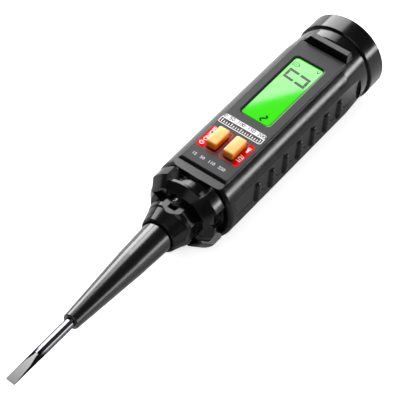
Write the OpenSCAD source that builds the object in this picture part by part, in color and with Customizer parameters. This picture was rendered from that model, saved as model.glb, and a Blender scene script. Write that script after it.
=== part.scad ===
/* [Along the tool] */
// Bare blade in front of the insulating sleeve
blade_out = 29; // [20:0.5:40]
// Insulating sleeve in front of the nose
sleeve_out = 45; // [35:0.5:60]
// Plain cone of the nose
nose_length = 5.8; // [5.4:0.1:7]
// Flared collar behind the nose cone
collar_length = 3.8; // [3.5:0.1:5]
// Finger guard and neck in front of the barrel
guard_length = 9.9; // [9.8:0.1:12]
// Barrel from the neck to the cap
barrel_length = 82.9; // [82.5:0.5:95]
// Cap at the rear end
cap_length = 8.6; // [6:0.2:12]

/* [Blade and sleeve] */
// Diameter of the round shank
shank_d = 3.5; // [3:0.1:4]
// Length of the ground flats of the tip
tip_length = 12.5; // [8:0.5:16]
// Thickness of the tip's edge
tip_edge = 0.6; // [0.4:0.1:1]
// Shank diameter inside the sleeve
shank_seat_d = 2.8; // [2.4:0.1:2.8]
// Turn of the tip round the tool
tip_turn = 10; // [0:1:90]
// Sleeve diameter at its front end
sleeve_front_d = 5.9; // [5.4:0.1:6.4]
// Sleeve diameter where it enters the nose
sleeve_rear_d = 11.2; // [10.4:0.1:11.6]
// Radius of the sleeve's front edge
sleeve_round = 0.6; // [0.4:0.1:0.7]

/* [Housing] */
// Diameter of the nose at its front rim
nose_d = 13.5; // [13.4:0.1:14.2]
// Diameter of the guard's flange
flange_d = 26; // [25:0.1:27]
// Diameter across the finger guard's lobes
guard_d = 29.8; // [29:0.1:30.6]
// Width of each lobe of the guard
lobe_w = 7.6; // [7:0.1:9]
// Diameter of the neck behind the guard
neck_d = 21.2; // [20.8:0.1:23]
// Diameter of the barrel
barrel_d = 30.6; // [30.4:0.1:32]
// Barrel diameter just in front of the cap
barrel_rear_d = 28.8; // [28.6:0.1:29.6]
// Diameter of the cap
cap_d = 30.5; // [30:0.1:32]
// Chamfer of the cap's rear edge
cap_chamfer = 1.1; // [0.4:0.1:2]
// Wall of the housing
wall = 1.9; // [1.7:0.1:1.9]
// Height of the resting flat below the axis
belly = 13.5; // [13.5:0.1:14]
// Height of the panel's seat above the axis
panel_seat = 11.9; // [11.9:0.1:12.3]
// Distance of the flat grip sides from the axis
grip_side = 13.85; // [13.8:0.05:14.2]
// Height of the joint between the two shells
split_z = -0.6; // [-0.8:0.1:-0.4]

/* [Grip ribs] */
// Number of ribs on each side
rib_count = 7; // [4:1:8]
// Spacing of the ribs
rib_pitch = 8.1; // [7:0.1:8.2]
// Width of a rib
rib_w = 3; // [2:0.1:3.4]
// Height of a rib from end to end
rib_h = 9.6; // [8:0.2:11]
// Height by which a rib stands proud
rib_proud = 1; // [0.6:0.1:1.2]

/* [Panel and display] */
// Panel length at its top face
panel_l = 69.6; // [69:0.1:70]
// Panel width at its top face
panel_w = 18.4; // [18:0.1:18.4]
// Thickness of the raised panel
panel_t = 0.6; // [0.4:0.1:0.8]
// Thickness of the printed overlay
overlay_t = 0.2; // [0.1:0.05:0.3]
// Window length
window_l = 33.8; // [30:0.1:34.4]
// Window width
window_w = 11.7; // [10:0.1:12]
// Radius of the window's corners
window_r = 1.5; // [0.6:0.1:2]
// Distance from the panel's front edge to the window
window_gap = 28.3; // [28:0.1:29]
// Depth of the window pane below the overlay
window_depth = 1.2; // [0.8:0.1:1.5]

/* [Buttons] */
// Length of a button
button_l = 8.2; // [7:0.1:8.6]
// Width of a button
button_w = 4; // [3.4:0.1:4.2]
// Height of a button above the overlay
button_h = 2.5; // [1.5:0.1:3]
// Spacing of the two buttons across the panel
button_pitch = 6.9; // [6.6:0.1:7.2]
// Offset of the pair from the panel's middle
button_offset = 0.3; // [0:0.1:0.4]
// Distance from the panel's front edge to the buttons
button_gap = 8.8; // [8:0.1:10]
// Travel of a button
button_travel = 0.5; // [0.3:0.1:0.6]

/* [Batteries] */
// Diameter of a AAA cell
cell_d = 10.5; // [10:0.1:10.5]
// Length of a AAA cell with its terminal
cell_l = 44.5; // [43.3:0.1:44.5]
// Length of a pressed contact spring
cell_spring_l = 4.1; // [3:0.1:4.4]

/* [Hidden] */
// Overrun of a cut past the face that it leaves
cut = 1;
// Gap round a piece that drops into its seat
fit = 0.15;
// Gap between a shaft and its bore
bore_fit = 0.05;
$fn = 64;

// Stations along the tool, measured from the blade's edge
x_sleeve = blade_out;
x_nose = x_sleeve + sleeve_out;
x_collar = x_nose + nose_length;
x_guard = x_collar + collar_length;
x_barrel = x_guard + guard_length;
x_cap = x_barrel + barrel_length;
x_end = x_cap + cap_length;

// Nose, collar and flange
nose_round = 0.5;
nose_lip_d = 12.4;
nose_lip_depth = 1.2;
cone_d = 16.2;
collar_d = 17;
collar_step = 0.6;
waist_d = 18.2;
waist_length = 1.2;
flare_d = 21.4;
flare_length = 0.9;
flange_slope = 2.7;
flange_t = 1.1;
flange_back = 1.4;
neck_end = 0.7;
neck_rise = 1.6;

// Lobes of the guard, the pockets between them and the pits in them
lobe_front_d = 23.4;
lobe_set = 0.8;
lobe_slope = 3.6;
lobe_land = 4.1;
lobe_back = 0.9;
lobe_root = 7;
lobe_count = 4;
pocket_floor = 7.9;
pocket_w = 9.4;
pocket_start = 2;
pit_w = 6;
pit_floor = 8.2;
pit_wall = 0.9;
pit_lead = 2.4;
pit_depth = 5;
notch_d = 4.8;
notch_turn = 164;
notch_floor = 11.4;
notch_back = 4.9;

// Barrel and cap
barrel_round = 1.4;
barrel_round_steps = 3;
taper_length = 12;
cap_gap = 0.5;
cap_round = 0.4;
grip_z = sqrt(pow(barrel_d / 2, 2) - pow(grip_side, 2));
grip_front = 3.2;
grip_rear = 5.4;
rib_start = 16.7;

// Panel and the step behind it
panel_inset = 4.2;
panel_side_slope = 0.4;
panel_end_slope = 0.9;
x_panel = x_barrel + panel_inset;
panel_top = panel_seat + panel_t;
overlay_top = panel_top + overlay_t;
overlay_margin = 0.2;
riser_gap = 1.6;
riser_run = 0.7;
riser_rise = 1.7;
ramp_run = 2.1;
ramp_rise = 0.8;
x_riser = x_panel + panel_l + riser_gap;
x_window = x_panel + window_gap + window_l / 2;
x_button = x_panel + button_gap + button_l / 2;

// Cavity inside the shells
cavity_top = panel_seat - wall;
cavity_floor = belly - wall;
cavity_side = grip_side - wall;
cavity_r = barrel_d / 2 - wall;
cavity_rear_r = barrel_rear_d / 2 - wall;
neck_cavity_r = neck_d / 2 - wall;
x_cavity = x_barrel + wall;
seat_end = 2.9;
x_seat_end = x_guard + seat_end;

// Sleeve inside the nose and the blade inside the sleeve
sleeve_flange_d = 12.8;
sleeve_flange_t = 1.6;
sleeve_flange_gap = 2.3;
x_sleeve_flange = x_collar + sleeve_flange_gap;
sleeve_swell = 0.25;
blade_collar_d = 5.2;
blade_collar_t = 1.4;
tip_sides = 12;
tip_step = 0.05;
blade_tail = 8;
x_blade_end = x_guard + blade_tail;

// Circuit board
pane_t = 1.1;
frame_h = 5.4;
board_t = 1.6;
board_w = 18.8;
board_tongue_w = 12.4;
board_tongue_l = 6.3;
board_front = 2.6;
board_rear = 8.1;
board_top = cavity_top - pane_t - frame_h;
board_z = board_top - board_t;
x_board = x_barrel + board_front;
x_board_end = x_cap - board_rear;

// Contact from the blade to the board
plate_t = 0.4;
plate_w = 5;
plate_drop = 2.6;
x_plate = x_board - plate_t;
wire_d = 0.4;
blade_spring_d = 3.2;
blade_spring_turns = 4;
cell_spring_d = 5.6;
cell_spring_turns = 3;
coil_steps = 12;
coil_sides = 6;

// Screws and bosses of the housing
screw_d = 2;
screw_head_d = 3.8;
screw_head_h = 1.6;
screw_seat = 7.4;
screw_reach = 5.1;
boss_d = 4.8;
boss_y = 9.3;
boss_rear_y = 8.6;
boss_front = 5.8;
boss_rear = 3.2;
screw_places = [[x_barrel + boss_front, boss_y], [x_barrel + boss_front, -boss_y],
    [x_cap - boss_rear, boss_rear_y], [x_cap - boss_rear, -boss_rear_y]];
post_d = 2.4;
post_front = 26;
post_rear = 10.5;
post_y = 8.9;
post_rear_y = 7.9;
post_places = [[x_barrel + post_front, post_y], [x_barrel + post_front, -post_y],
    [x_cap - post_rear, post_rear_y], [x_cap - post_rear, -post_rear_y]];

// Display stack under the window
pane_margin = 2.4;
glass_l = 37.4;
glass_w = 14.4;
glass_t = 2;
glass_gap = 0.1;
light_t = 2.2;
light_l = 36.2;
light_gap = 0.1;
strip_w = 1.4;
strip_l = 34;
led_l = 0.9;
led_w = 3;
led_h = 1.2;
frame_wall = 1.1;
glass_top = board_top + frame_h - glass_gap;
glass_z = glass_top - glass_t;
light_top = glass_z - light_gap;

// Buttons and their switches
button_flange = 0.7;
button_flange_t = 0.8;
button_round = 0.6;
button_bevel = 0.5;
stem_w = 2.4;
switch_w = 5.2;
switch_h = 3.4;
plunger_d = 2.2;
plunger_h = 1;
plunger_gap = 0.05;
flange_gap = 0.1;
switch_top = board_top + switch_h;
plunger_top = switch_top + plunger_h;
plunger_root = 0.9;
power_y = button_offset + button_pitch / 2;
mode_y = button_offset - button_pitch / 2;

// Torch lamp in the upper pocket of the guard
led_d = 3;
led_z = 8.3;
led_body = 3.6;
led_flange_d = 3.8;
led_flange_t = 1;
led_lead_d = 0.5;
led_lead_gap = 1.27;
led_lead_drop = 0.5;
led_pocket_d = 4;
led_reach = 3.2;
led_lead_end = 2.4;
x_led = x_collar + led_reach - led_d / 2;
x_led_flange = x_led + led_body;
x_lead = x_board + led_lead_end;

// Parts on the board
chip_l = 7;
chip_t = 1.4;
chip_gap = 1.8;
resistor_d = 2.3;
resistor_l = 6.2;
resistor_lead = 0.6;
resistor_span = 10;
resistor_gap = 6.2;
capacitor_d = 4;
capacitor_h = 5;
capacitor_y = 4;
capacitor_gap = 10.3;
buzzer_d = 9;
buzzer_h = 4.2;
buzzer_gap = 18.4;
buzzer_hole_d = 2;
buzzer_hole_depth = 1;

// Battery tray, contacts and cells
tray_t = 0.9;
tray_gap = 0.9;
tray_wall = 1.2;
tray_inset = 20.5;
tray_depth = 8.5;
tray_ridge = 1.2;
cell_gap = 0.1;
contact_gap = 0.05;
contact_w = 7;
contact_tab_w = 2;
nub_d = 3.8;
nub_h = 0.8;
x_tray = x_panel + tray_inset;
x_cells = x_tray + tray_wall + plate_t;
tray_inner = cell_l + cell_spring_l + 2 * plate_t + 3 * contact_gap;
x_tray_end = x_tray + 2 * tray_wall + tray_inner;
tray_top = board_z - tray_gap;
cell_z = tray_top - tray_t - cell_gap - cell_d / 2;
cell_y = (cell_d + cell_gap) / 2;
contact_drop = 3.2;

// Battery cover and its screw
cover_w = 22;
cover_lead = 0.3;
cover_rear_lead = 0.3;
cover_top = 4;
tab_l = 7;
tab_w = 11.6;
tab_t = 2.4;
tab_boss_t = 1.6;
tab_screw_x = 3.6;
tab_head_h = 1.1;
tab_head_depth = 1.3;
tab_screw_l = 4.6;
x_cover = x_tray - cover_lead;
x_cover_end = x_tray_end + cover_rear_lead;
x_tab = x_cover - tab_l;
x_tab_screw = x_tab + tab_screw_x;

// Stands the tool on its resting flat, with the middle of its length at the origin
module in_place() {
    translate([-x_end / 2, 0, belly]) children();
}

// Solid turned round the tool's axis from [radius, station] points
module turned(points) {
    rotate([0, 90, 0]) rotate_extrude($fn = 96) polygon(points);
}

// Round rod along the tool
module rod(d, from_x, to_x) {
    translate([from_x, 0, 0]) rotate([0, 90, 0]) cylinder(d = d, h = to_x - from_x);
}

// Block between two stations, centred across the tool
module block(from_x, to_x, w, from_z, to_z) {
    translate([from_x, -w / 2, from_z]) cube([to_x - from_x, w, to_z - from_z]);
}

// Upright block with round corners, centred on its own axis
module rounded_block(l, w, h, r) {
    translate([-l / 2, r - w / 2, 0]) cube([l, w - 2 * r, h]);
    translate([r - l / 2, -w / 2, 0]) cube([l - 2 * r, w, h]);
    for (x = [-1, 1], y = [-1, 1])
        translate([x * (l / 2 - r), y * (w / 2 - r), 0]) cylinder(r = r, h = h, $fn = 32);
}

// Wire wound into an open coil along the tool
module coil(d, wire, length, turns) {
    steps = turns * coil_steps;
    rise = length - wire;
    function ring_point(i, j) =
        let (a = 360 * i / coil_steps, b = 360 * j / coil_sides, r = (d - wire + wire * cos(b)) / 2)
        [wire / 2 + rise * i / steps + wire / 2 * sin(b), r * cos(a), r * sin(a)];
    points = [for (i = [0 : steps], j = [0 : coil_sides - 1]) ring_point(i, j)];
    sides = [for (i = [0 : steps - 1], j = [0 : coil_sides - 1])
        let (k = i * coil_sides, n = (j + 1) % coil_sides)
        [k + j, k + coil_sides + j, k + coil_sides + n, k + n]];
    first = [for (j = [0 : coil_sides - 1]) j];
    last = [for (j = [0 : coil_sides - 1]) steps * coil_sides + coil_sides - 1 - j];
    polyhedron(points, concat(sides, [first], [last]), convexity = turns);
}

// Whole outside of the housing, nose, guard, barrel and cap in one
module outer_form() {
    x_flare = x_guard + flare_length;
    x_flange = x_flare + flange_slope;
    x_neck = x_flange + flange_t + flange_back;
    difference() {
        union() {
            turned([[0, x_nose], [nose_d / 2 - nose_round, x_nose], [nose_d / 2, x_nose + nose_round],
                [cone_d / 2, x_collar - collar_step], [collar_d / 2, x_collar],
                [waist_d / 2, x_guard - waist_length], [flare_d / 2, x_flare],
                [flange_d / 2, x_flange], [flange_d / 2, x_flange + flange_t], [neck_d / 2, x_neck],
                [neck_d / 2, x_barrel - neck_end], [neck_d / 2 + neck_rise, x_barrel],
                for (i = [0 : barrel_round_steps]) let (a = 90 * i / barrel_round_steps)
                    [barrel_d / 2 - barrel_round * (1 - sin(a)), x_barrel + barrel_round * (1 - cos(a))],
                [barrel_d / 2, x_cap - taper_length], [barrel_rear_d / 2, x_cap - cap_gap],
                [barrel_rear_d / 2, x_cap], [cap_d / 2 - cap_round, x_cap],
                [cap_d / 2, x_cap + cap_round], [cap_d / 2, x_end - cap_chamfer],
                [cap_d / 2 - cap_chamfer, x_end], [0, x_end]]);
            guard_lobes();
        }
        for (i = [0 : lobe_count - 1]) rotate([360 * i / lobe_count, 0, 0])
            translate([x_collar - pocket_start, -pocket_w / 2, pocket_floor])
                cube([x_flare - x_collar + pocket_start, pocket_w, guard_d]);
        for (i = [0 : lobe_count - 1]) rotate([360 * (i + 1 / 2) / lobe_count, 0, 0])
            translate([x_guard - pit_lead, -pit_w / 2, pit_floor])
                cube([pit_depth, pit_w, lobe_front_d / 2 - pit_wall - pit_floor]);
        rotate([notch_turn - 90, 0, 0]) translate([x_barrel - notch_back, 0, notch_floor])
            cylinder(d = notch_d, h = guard_d);
        panel_seat_cut();
        for (side = [0, 1]) mirror([0, side, 0])
            translate([x_barrel + grip_front, grip_side, -grip_z])
                cube([barrel_length - grip_front - grip_rear, guard_d, 2 * grip_z]);
        block(x_barrel - cut, x_end + cut, 2 * barrel_d, -barrel_d, -belly);
    }
    raised_panel();
    for (side = [0, 1], i = [0 : rib_count - 1]) mirror([0, side, 0])
        translate([x_barrel + rib_start + i * rib_pitch, 0, 0]) grip_rib();
}

// Four lobes that stop the fingers, each with a sloping front
module guard_lobes() {
    x_front = x_guard + lobe_set;
    x_land = x_front + lobe_slope;
    x_back = x_land + lobe_land;
    intersection() {
        turned([[lobe_root, x_front], [lobe_front_d / 2, x_front], [guard_d / 2, x_land],
            [guard_d / 2, x_back], [guard_d / 2 - lobe_back, x_back + lobe_back],
            [lobe_root, x_back + lobe_back]]);
        for (i = [0 : lobe_count - 1]) rotate([360 * (i + 1 / 2) / lobe_count, 0, 0])
            translate([x_front - cut, -lobe_w / 2, lobe_root])
                cube([x_back + lobe_back - x_front + 2 * cut, lobe_w, guard_d]);
    }
}

// Flat that the panel stands on, ending in a step with a sloping top
module panel_seat_cut() {
    x_step = x_riser + riser_run;
    translate([0, barrel_d, 0]) rotate([90, 0, 0]) linear_extrude(2 * barrel_d)
        polygon([[x_barrel - cut, panel_seat], [x_riser, panel_seat], [x_step, panel_seat + riser_rise],
            [x_step + ramp_run, panel_seat + riser_rise + ramp_rise],
            [x_step + ramp_run, barrel_d], [x_barrel - cut, barrel_d]]);
}

// Raised panel with sloping edges
module raised_panel() {
    root = panel_seat - wall / 2;
    intersection() {
        translate([x_barrel, 0, 0]) rotate([90, 0, 90]) linear_extrude(barrel_length)
            polygon([[-panel_w / 2, panel_top], [-panel_w / 2 - panel_side_slope, panel_seat],
                [-panel_w / 2, root], [panel_w / 2, root],
                [panel_w / 2 + panel_side_slope, panel_seat], [panel_w / 2, panel_top]]);
        translate([0, barrel_d / 2, 0]) rotate([90, 0, 0]) linear_extrude(barrel_d)
            polygon([[x_panel, panel_top], [x_panel - panel_end_slope, panel_seat],
                [x_panel, root], [x_panel + panel_l, root], [x_panel + panel_l, panel_top]]);
    }
}

// Upright rib with round ends on the flat grip side
module grip_rib() {
    reach = rib_h / 2 - rib_w / 2;
    translate([0, grip_side + rib_proud - rib_w / 2, 0]) {
        translate([0, 0, -reach]) cylinder(d = rib_w, h = 2 * reach, $fn = 32);
        for (z = [-reach, reach]) translate([0, 0, z]) sphere(d = rib_w, $fn = 32);
    }
}

// Room for the works inside the closed housing
module cavity() {
    intersection() {
        turned([[0, x_cavity], [cavity_r, x_cavity], [cavity_r, x_cap - taper_length],
            [cavity_rear_r, x_cap - cap_gap], [cavity_rear_r, x_end - wall], [0, x_end - wall]]);
        block(x_cavity - cut, x_end, 2 * cavity_side, -cavity_floor, cavity_top);
    }
    rod(2 * neck_cavity_r, x_seat_end, x_cavity + cut);
    rod(sleeve_rear_d + 2 * bore_fit, x_nose - cut, x_seat_end + cut);
    rod(nose_lip_d, x_nose - cut, x_nose + nose_lip_depth);
    rod(sleeve_flange_d + 2 * bore_fit, x_sleeve_flange - bore_fit, x_sleeve_flange + sleeve_flange_t + bore_fit);
    translate([0, 0, led_z]) {
        rod(led_d + 2 * bore_fit, x_led - cut, x_led_flange + cut);
        rod(led_pocket_d, x_led_flange - bore_fit, x_led_flange + led_flange_t + cut);
    }
}

// Places its children at each housing screw
module at_screws() {
    for (p = screw_places) translate([p[0], p[1], 0]) children();
}

module front_shell() {
    color("#1c1c1e") in_place() difference() {
        union() {
            difference() {
                intersection() {
                    outer_form();
                    block(0, x_end + cut, 2 * barrel_d, split_z, barrel_d);
                }
                cavity();
            }
            intersection() {
                outer_form();
                union() {
                    at_screws() translate([0, 0, split_z])
                        cylinder(d = boss_d, h = cavity_top + wall / 2 - split_z);
                    for (p = post_places) translate([p[0], p[1], board_top])
                        cylinder(d = post_d, h = cavity_top + wall / 2 - board_top);
                }
            }
        }
        at_screws() translate([0, 0, split_z - cut]) cylinder(d = screw_d + 2 * bore_fit, h = screw_reach + 2 * cut);
        translate([x_window, 0, cavity_top - cut])
            rounded_block(window_l, window_w, wall + panel_t + 2 * cut, window_r);
        for (y = [power_y, mode_y]) translate([x_button, y, cavity_top - cut])
            rounded_block(button_l + 2 * fit, button_w + 2 * fit, wall + panel_t + 2 * cut, button_round + fit);
    }
}

module rear_shell() {
    color("#1c1c1e") in_place() difference() {
        union() {
            difference() {
                intersection() {
                    outer_form();
                    block(0, x_end + cut, 2 * barrel_d, -barrel_d, split_z);
                }
                cavity();
            }
            intersection() {
                outer_form();
                at_screws() translate([0, 0, -barrel_d]) cylinder(d = boss_d, h = barrel_d + split_z);
            }
            block(x_tab - wall, x_cover, tab_w + 2 * wall, -belly, tab_t + tab_boss_t - belly);
            translate([x_tab_screw, 0, -belly]) cylinder(d = boss_d, h = tab_screw_l + 2 * wall);
        }
        at_screws() {
            translate([0, 0, -barrel_d]) cylinder(d = screw_d + 2 * bore_fit, h = 2 * barrel_d);
            translate([0, 0, -barrel_d]) cylinder(d = screw_head_d + 2 * fit, h = barrel_d - screw_seat);
        }
        block(x_cover, x_cover_end, cover_w, -barrel_d, -cover_top);
        block(x_tab - fit, x_cover + cut, tab_w + 2 * fit, -belly - cut, tab_t + fit - belly);
        translate([x_tab_screw, 0, -belly]) cylinder(d = screw_d + 2 * bore_fit, h = tab_head_depth + tab_screw_l + fit);
    }
}

module battery_cover() {
    color("#202022") in_place() difference() {
        union() {
            difference() {
                intersection() {
                    outer_form();
                    block(x_cover + fit, x_cover_end - fit, cover_w - 2 * fit, -barrel_d, -cover_top);
                }
                cavity();
            }
            block(x_tab, x_cover + wall, tab_w, -belly, tab_t - belly);
        }
        translate([x_tab_screw, 0, -belly - cut]) {
            cylinder(d = screw_d + 2 * bore_fit, h = tab_t + 2 * cut);
            cylinder(d = screw_head_d + 2 * fit, h = tab_head_depth + cut);
        }
    }
}

// Self-tapping screw with a cross recess in its head, standing head down
module screw(head_h, reach) {
    slot = screw_head_d / 2;
    slot_w = screw_d / 4;
    difference() {
        union() {
            translate([0, 0, -head_h]) cylinder(d = screw_head_d, h = head_h);
            cylinder(d = screw_d, h = reach);
        }
        for (a = [0, 90]) rotate([0, 0, a])
            translate([-slot / 2, -slot_w / 2, -head_h - cut]) cube([slot, slot_w, cut + head_h / 2]);
    }
}

module battery_cover_screw() {
    color("silver") in_place()
        translate([x_tab_screw, 0, tab_head_depth - belly]) screw(tab_head_h, tab_screw_l);
}

module housing_screws() {
    color("silver") in_place() at_screws()
        translate([0, 0, -screw_seat]) screw(screw_head_h, screw_seat + screw_reach + split_z);
}

module blade() {
    r = shank_d / 2;
    color("gainsboro") in_place() {
        rotate([tip_turn, 0, 0]) intersection() {
            rotate([180 / tip_sides, 0, 0]) rotate([0, 90, 0])
                cylinder(d = shank_d - 2 * tip_step, h = tip_length + cut, $fn = tip_sides);
            translate([0, shank_d, 0]) rotate([90, 0, 0]) linear_extrude(2 * shank_d)
                polygon([[0, tip_edge / 2], [tip_length, r], [tip_length + 2 * cut, r],
                    [tip_length + 2 * cut, -r], [tip_length, -r], [0, -tip_edge / 2]]);
        }
        rod(shank_d, tip_length, x_sleeve);
        rod(shank_seat_d, x_sleeve - cut, x_blade_end);
        rod(blade_collar_d, x_seat_end + bore_fit, x_seat_end + blade_collar_t);
    }
}

module insulating_sleeve() {
    r = sleeve_front_d / 2;
    x_mid = x_sleeve + sleeve_out * 2 / 3;
    mid_r = r + (sleeve_rear_d / 2 - r) * 2 / 3 + sleeve_swell;
    corner = [for (a = [0 : 15 : 90]) [r - sleeve_round * (1 - sin(a)), x_sleeve + sleeve_round * (1 - cos(a))]];
    flange_r = sleeve_flange_d / 2;
    bore = shank_seat_d / 2 + bore_fit;
    color("#141414") in_place() turned(concat([[bore, x_sleeve]], corner,
        [[mid_r, x_mid], [sleeve_rear_d / 2, x_nose], [sleeve_rear_d / 2, x_sleeve_flange],
        [flange_r, x_sleeve_flange], [flange_r, x_sleeve_flange + sleeve_flange_t],
        [sleeve_rear_d / 2, x_sleeve_flange + sleeve_flange_t], [sleeve_rear_d / 2, x_seat_end],
        [bore, x_seat_end]]));
}

module blade_contact_spring() {
    color("silver") in_place() translate([x_blade_end + contact_gap, 0, 0])
        coil(blade_spring_d, wire_d, x_plate - x_blade_end - 2 * contact_gap, blade_spring_turns);
}

module blade_contact_plate() {
    color("goldenrod") in_place() block(x_plate, x_board, plate_w, -plate_drop, board_top);
}

module circuit_board() {
    color("darkgreen") in_place() {
        block(x_board, x_board + board_tongue_l, board_tongue_w, board_z, board_top);
        block(x_board + board_tongue_l, x_board_end, board_w, board_z, board_top);
    }
}

module controller_chip() {
    color("#222222") in_place()
        block(x_board + chip_gap, x_board + chip_gap + chip_l, chip_l, board_z - chip_t, board_z);
}

module limiting_resistor() {
    z = board_top + resistor_d / 2;
    color("tan") in_place() translate([x_board + resistor_gap, 0, z]) {
        rotate([90, 0, 0]) cylinder(d = resistor_d, h = resistor_l, center = true);
        rotate([90, 0, 0]) cylinder(d = resistor_lead, h = resistor_span, center = true, $fn = 24);
        for (side = [-1, 1]) translate([0, side * (resistor_span - resistor_lead) / 2, -resistor_d / 2])
            cylinder(d = resistor_lead, h = resistor_d / 2, $fn = 24);
    }
}

module board_capacitors() {
    color("midnightblue") in_place() for (side = [-1, 1])
        translate([x_cap - capacitor_gap, side * capacitor_y, board_top])
            cylinder(d = capacitor_d, h = capacitor_h);
}

module buzzer() {
    color("#111111") in_place() translate([x_barrel + buzzer_gap, 0, board_z - buzzer_h]) difference() {
        cylinder(d = buzzer_d, h = buzzer_h);
        translate([0, 0, -cut]) cylinder(d = buzzer_hole_d, h = buzzer_hole_depth + cut);
    }
}

// Moulded key with bevelled edges, a flange under the panel and a stem on its switch
module button(y) {
    flange_z = cavity_top - flange_gap - button_flange_t;
    key_top = overlay_top + button_h;
    in_place() translate([x_button, y, 0]) {
        hull() {
            translate([0, 0, cavity_top - flange_gap])
                rounded_block(button_l, button_w, key_top - button_bevel - cavity_top + flange_gap, button_round);
            translate([0, 0, key_top - button_bevel]) rounded_block(button_l - 2 * button_bevel,
                button_w - 2 * button_bevel, button_bevel, button_round / 2);
        }
        translate([0, 0, flange_z])
            rounded_block(button_l + 2 * button_flange, button_w + 2 * button_flange, button_flange_t, button_round);
        translate([-stem_w / 2, -stem_w / 2, plunger_top + plunger_gap])
            cube([stem_w, stem_w, flange_z - plunger_top]);
    }
}

module power_button() {
    color("orange") button(power_y);
}

module mode_button() {
    color("orange") button(mode_y);
}

// Square body of a tact switch with a bore for its plunger
module switch_base(y) {
    in_place() translate([x_button, y, board_top]) difference() {
        translate([-switch_w / 2, -switch_w / 2, 0]) cube([switch_w, switch_w, switch_h]);
        translate([0, 0, switch_h - plunger_root - button_travel - bore_fit])
            cylinder(d = plunger_d + 2 * bore_fit, h = switch_h);
    }
}

module power_switch_base() {
    color("#2a2a2a") switch_base(power_y);
}

module mode_switch_base() {
    color("#2a2a2a") switch_base(mode_y);
}

module switch_plunger(y) {
    in_place() translate([x_button, y, switch_top - plunger_root])
        cylinder(d = plunger_d, h = plunger_h + plunger_root);
}

module power_switch_plunger() {
    color("#4a4a4a") switch_plunger(power_y);
}

module mode_switch_plunger() {
    color("#4a4a4a") switch_plunger(mode_y);
}

module display_window() {
    plug_h = overlay_top - window_depth - cavity_top;
    color("#b8ffb0") in_place() translate([x_window, 0, 0]) {
        translate([0, 0, cavity_top])
            rounded_block(window_l - 2 * fit, window_w - 2 * fit, plug_h, window_r - fit);
        translate([0, 0, cavity_top - pane_t])
            rounded_block(window_l + 2 * pane_margin, window_w + 2 * pane_margin, pane_t, window_r);
    }
}

module lcd_glass() {
    color("#58e030") in_place()
        block(x_window - glass_l / 2, x_window + glass_l / 2, glass_w, glass_z, glass_top);
}

module lcd_backlight() {
    x_from = x_window - glass_l / 2;
    w = glass_w - strip_w - fit;
    color("#d8ffd0") in_place() translate([0, -(glass_w - w) / 2, 0])
        block(x_from, x_from + light_l, w, light_top - light_t, light_top);
}

module backlight_led() {
    x_from = x_window - glass_l / 2 + light_l + light_gap;
    color("white") in_place() block(x_from, x_from + led_l, led_w, board_top, board_top + led_h + light_t / 2);
}

module lcd_frame() {
    inner_l = glass_l + 2 * fit;
    inner_w = glass_w + 2 * fit;
    color("#333333") in_place() translate([x_window, 0, board_top]) difference() {
        block(-inner_l / 2 - frame_wall, inner_l / 2 + frame_wall, inner_w + 2 * frame_wall, 0, frame_h);
        block(-inner_l / 2, inner_l / 2, inner_w, -cut, frame_h + cut);
    }
}

module lcd_contact_strip() {
    color("pink") in_place() translate([0, (glass_w - strip_w) / 2, 0])
        block(x_window - strip_l / 2, x_window + strip_l / 2, strip_w, board_top, glass_z);
}

module panel_overlay() {
    l = panel_l - 2 * overlay_margin;
    w = panel_w - 2 * overlay_margin;
    color("#4c4c4e") in_place() translate([0, 0, panel_top]) difference() {
        block(x_panel + overlay_margin, x_panel + overlay_margin + l, w, 0, overlay_t);
        translate([x_window, 0, -cut]) rounded_block(window_l, window_w, overlay_t + 2 * cut, window_r);
        for (y = [power_y, mode_y]) translate([x_button, y, -cut])
            rounded_block(button_l + 2 * fit, button_w + 2 * fit, overlay_t + 2 * cut, button_round + fit);
    }
}

module torch_led() {
    color("white") in_place() translate([0, 0, led_z]) {
        translate([x_led + led_d / 2, 0, 0]) sphere(d = led_d);
        rod(led_d, x_led + led_d / 2, x_led_flange);
        rod(led_flange_d, x_led_flange, x_led_flange + led_flange_t);
    }
}

module torch_led_leads() {
    x_from = x_led_flange + led_flange_t;
    color("silver") in_place() for (side = [-1, 1])
        translate([0, side * led_lead_gap, led_z - led_lead_drop]) {
            rod(led_lead_d, x_from, x_lead);
            translate([x_lead, 0, 0]) sphere(d = led_lead_d, $fn = 24);
            translate([x_lead, 0, board_top - led_z + led_lead_drop])
                cylinder(d = led_lead_d, h = led_z - led_lead_drop - board_top, $fn = 24);
        }
}

// Battery cell from its negative end at the origin to its terminal
module cell() {
    rod(cell_d, 0, cell_l - nub_h);
    rod(nub_d, cell_l - nub_h - cut, cell_l);
}

module cell_left() {
    color("#c9a227") in_place()
        translate([x_cells + cell_spring_l + 2 * contact_gap, cell_y, cell_z]) cell();
}

module cell_right() {
    color("#c9a227") in_place()
        translate([x_cells + contact_gap + cell_l, -cell_y, cell_z]) mirror([1, 0, 0]) cell();
}

module cell_spring_left() {
    color("silver") in_place() translate([x_cells + contact_gap, cell_y, cell_z])
        coil(cell_spring_d, wire_d, cell_spring_l, cell_spring_turns);
}

module cell_spring_right() {
    color("silver") in_place() translate([x_cells + cell_l + 2 * contact_gap, -cell_y, cell_z])
        coil(cell_spring_d, wire_d, cell_spring_l, cell_spring_turns);
}

module battery_bridge() {
    color("gainsboro") in_place() {
        block(x_cells - plate_t, x_cells, 2 * cell_y + contact_w, cell_z - contact_drop, cell_z + contact_drop);
    }
}

// Rear contact plate with a tab that reaches the board
module terminal(y) {
    x_from = x_tray_end - tray_wall - plate_t;
    in_place() translate([0, y, 0]) {
        block(x_from, x_from + plate_t, contact_w, cell_z - contact_drop, cell_z + contact_drop);
        block(x_from, x_from + plate_t, contact_tab_w, cell_z, board_z);
    }
}

module battery_terminal_left() {
    color("gainsboro") terminal(cell_y);
}

module battery_terminal_right() {
    color("gainsboro") terminal(-cell_y);
}

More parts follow.
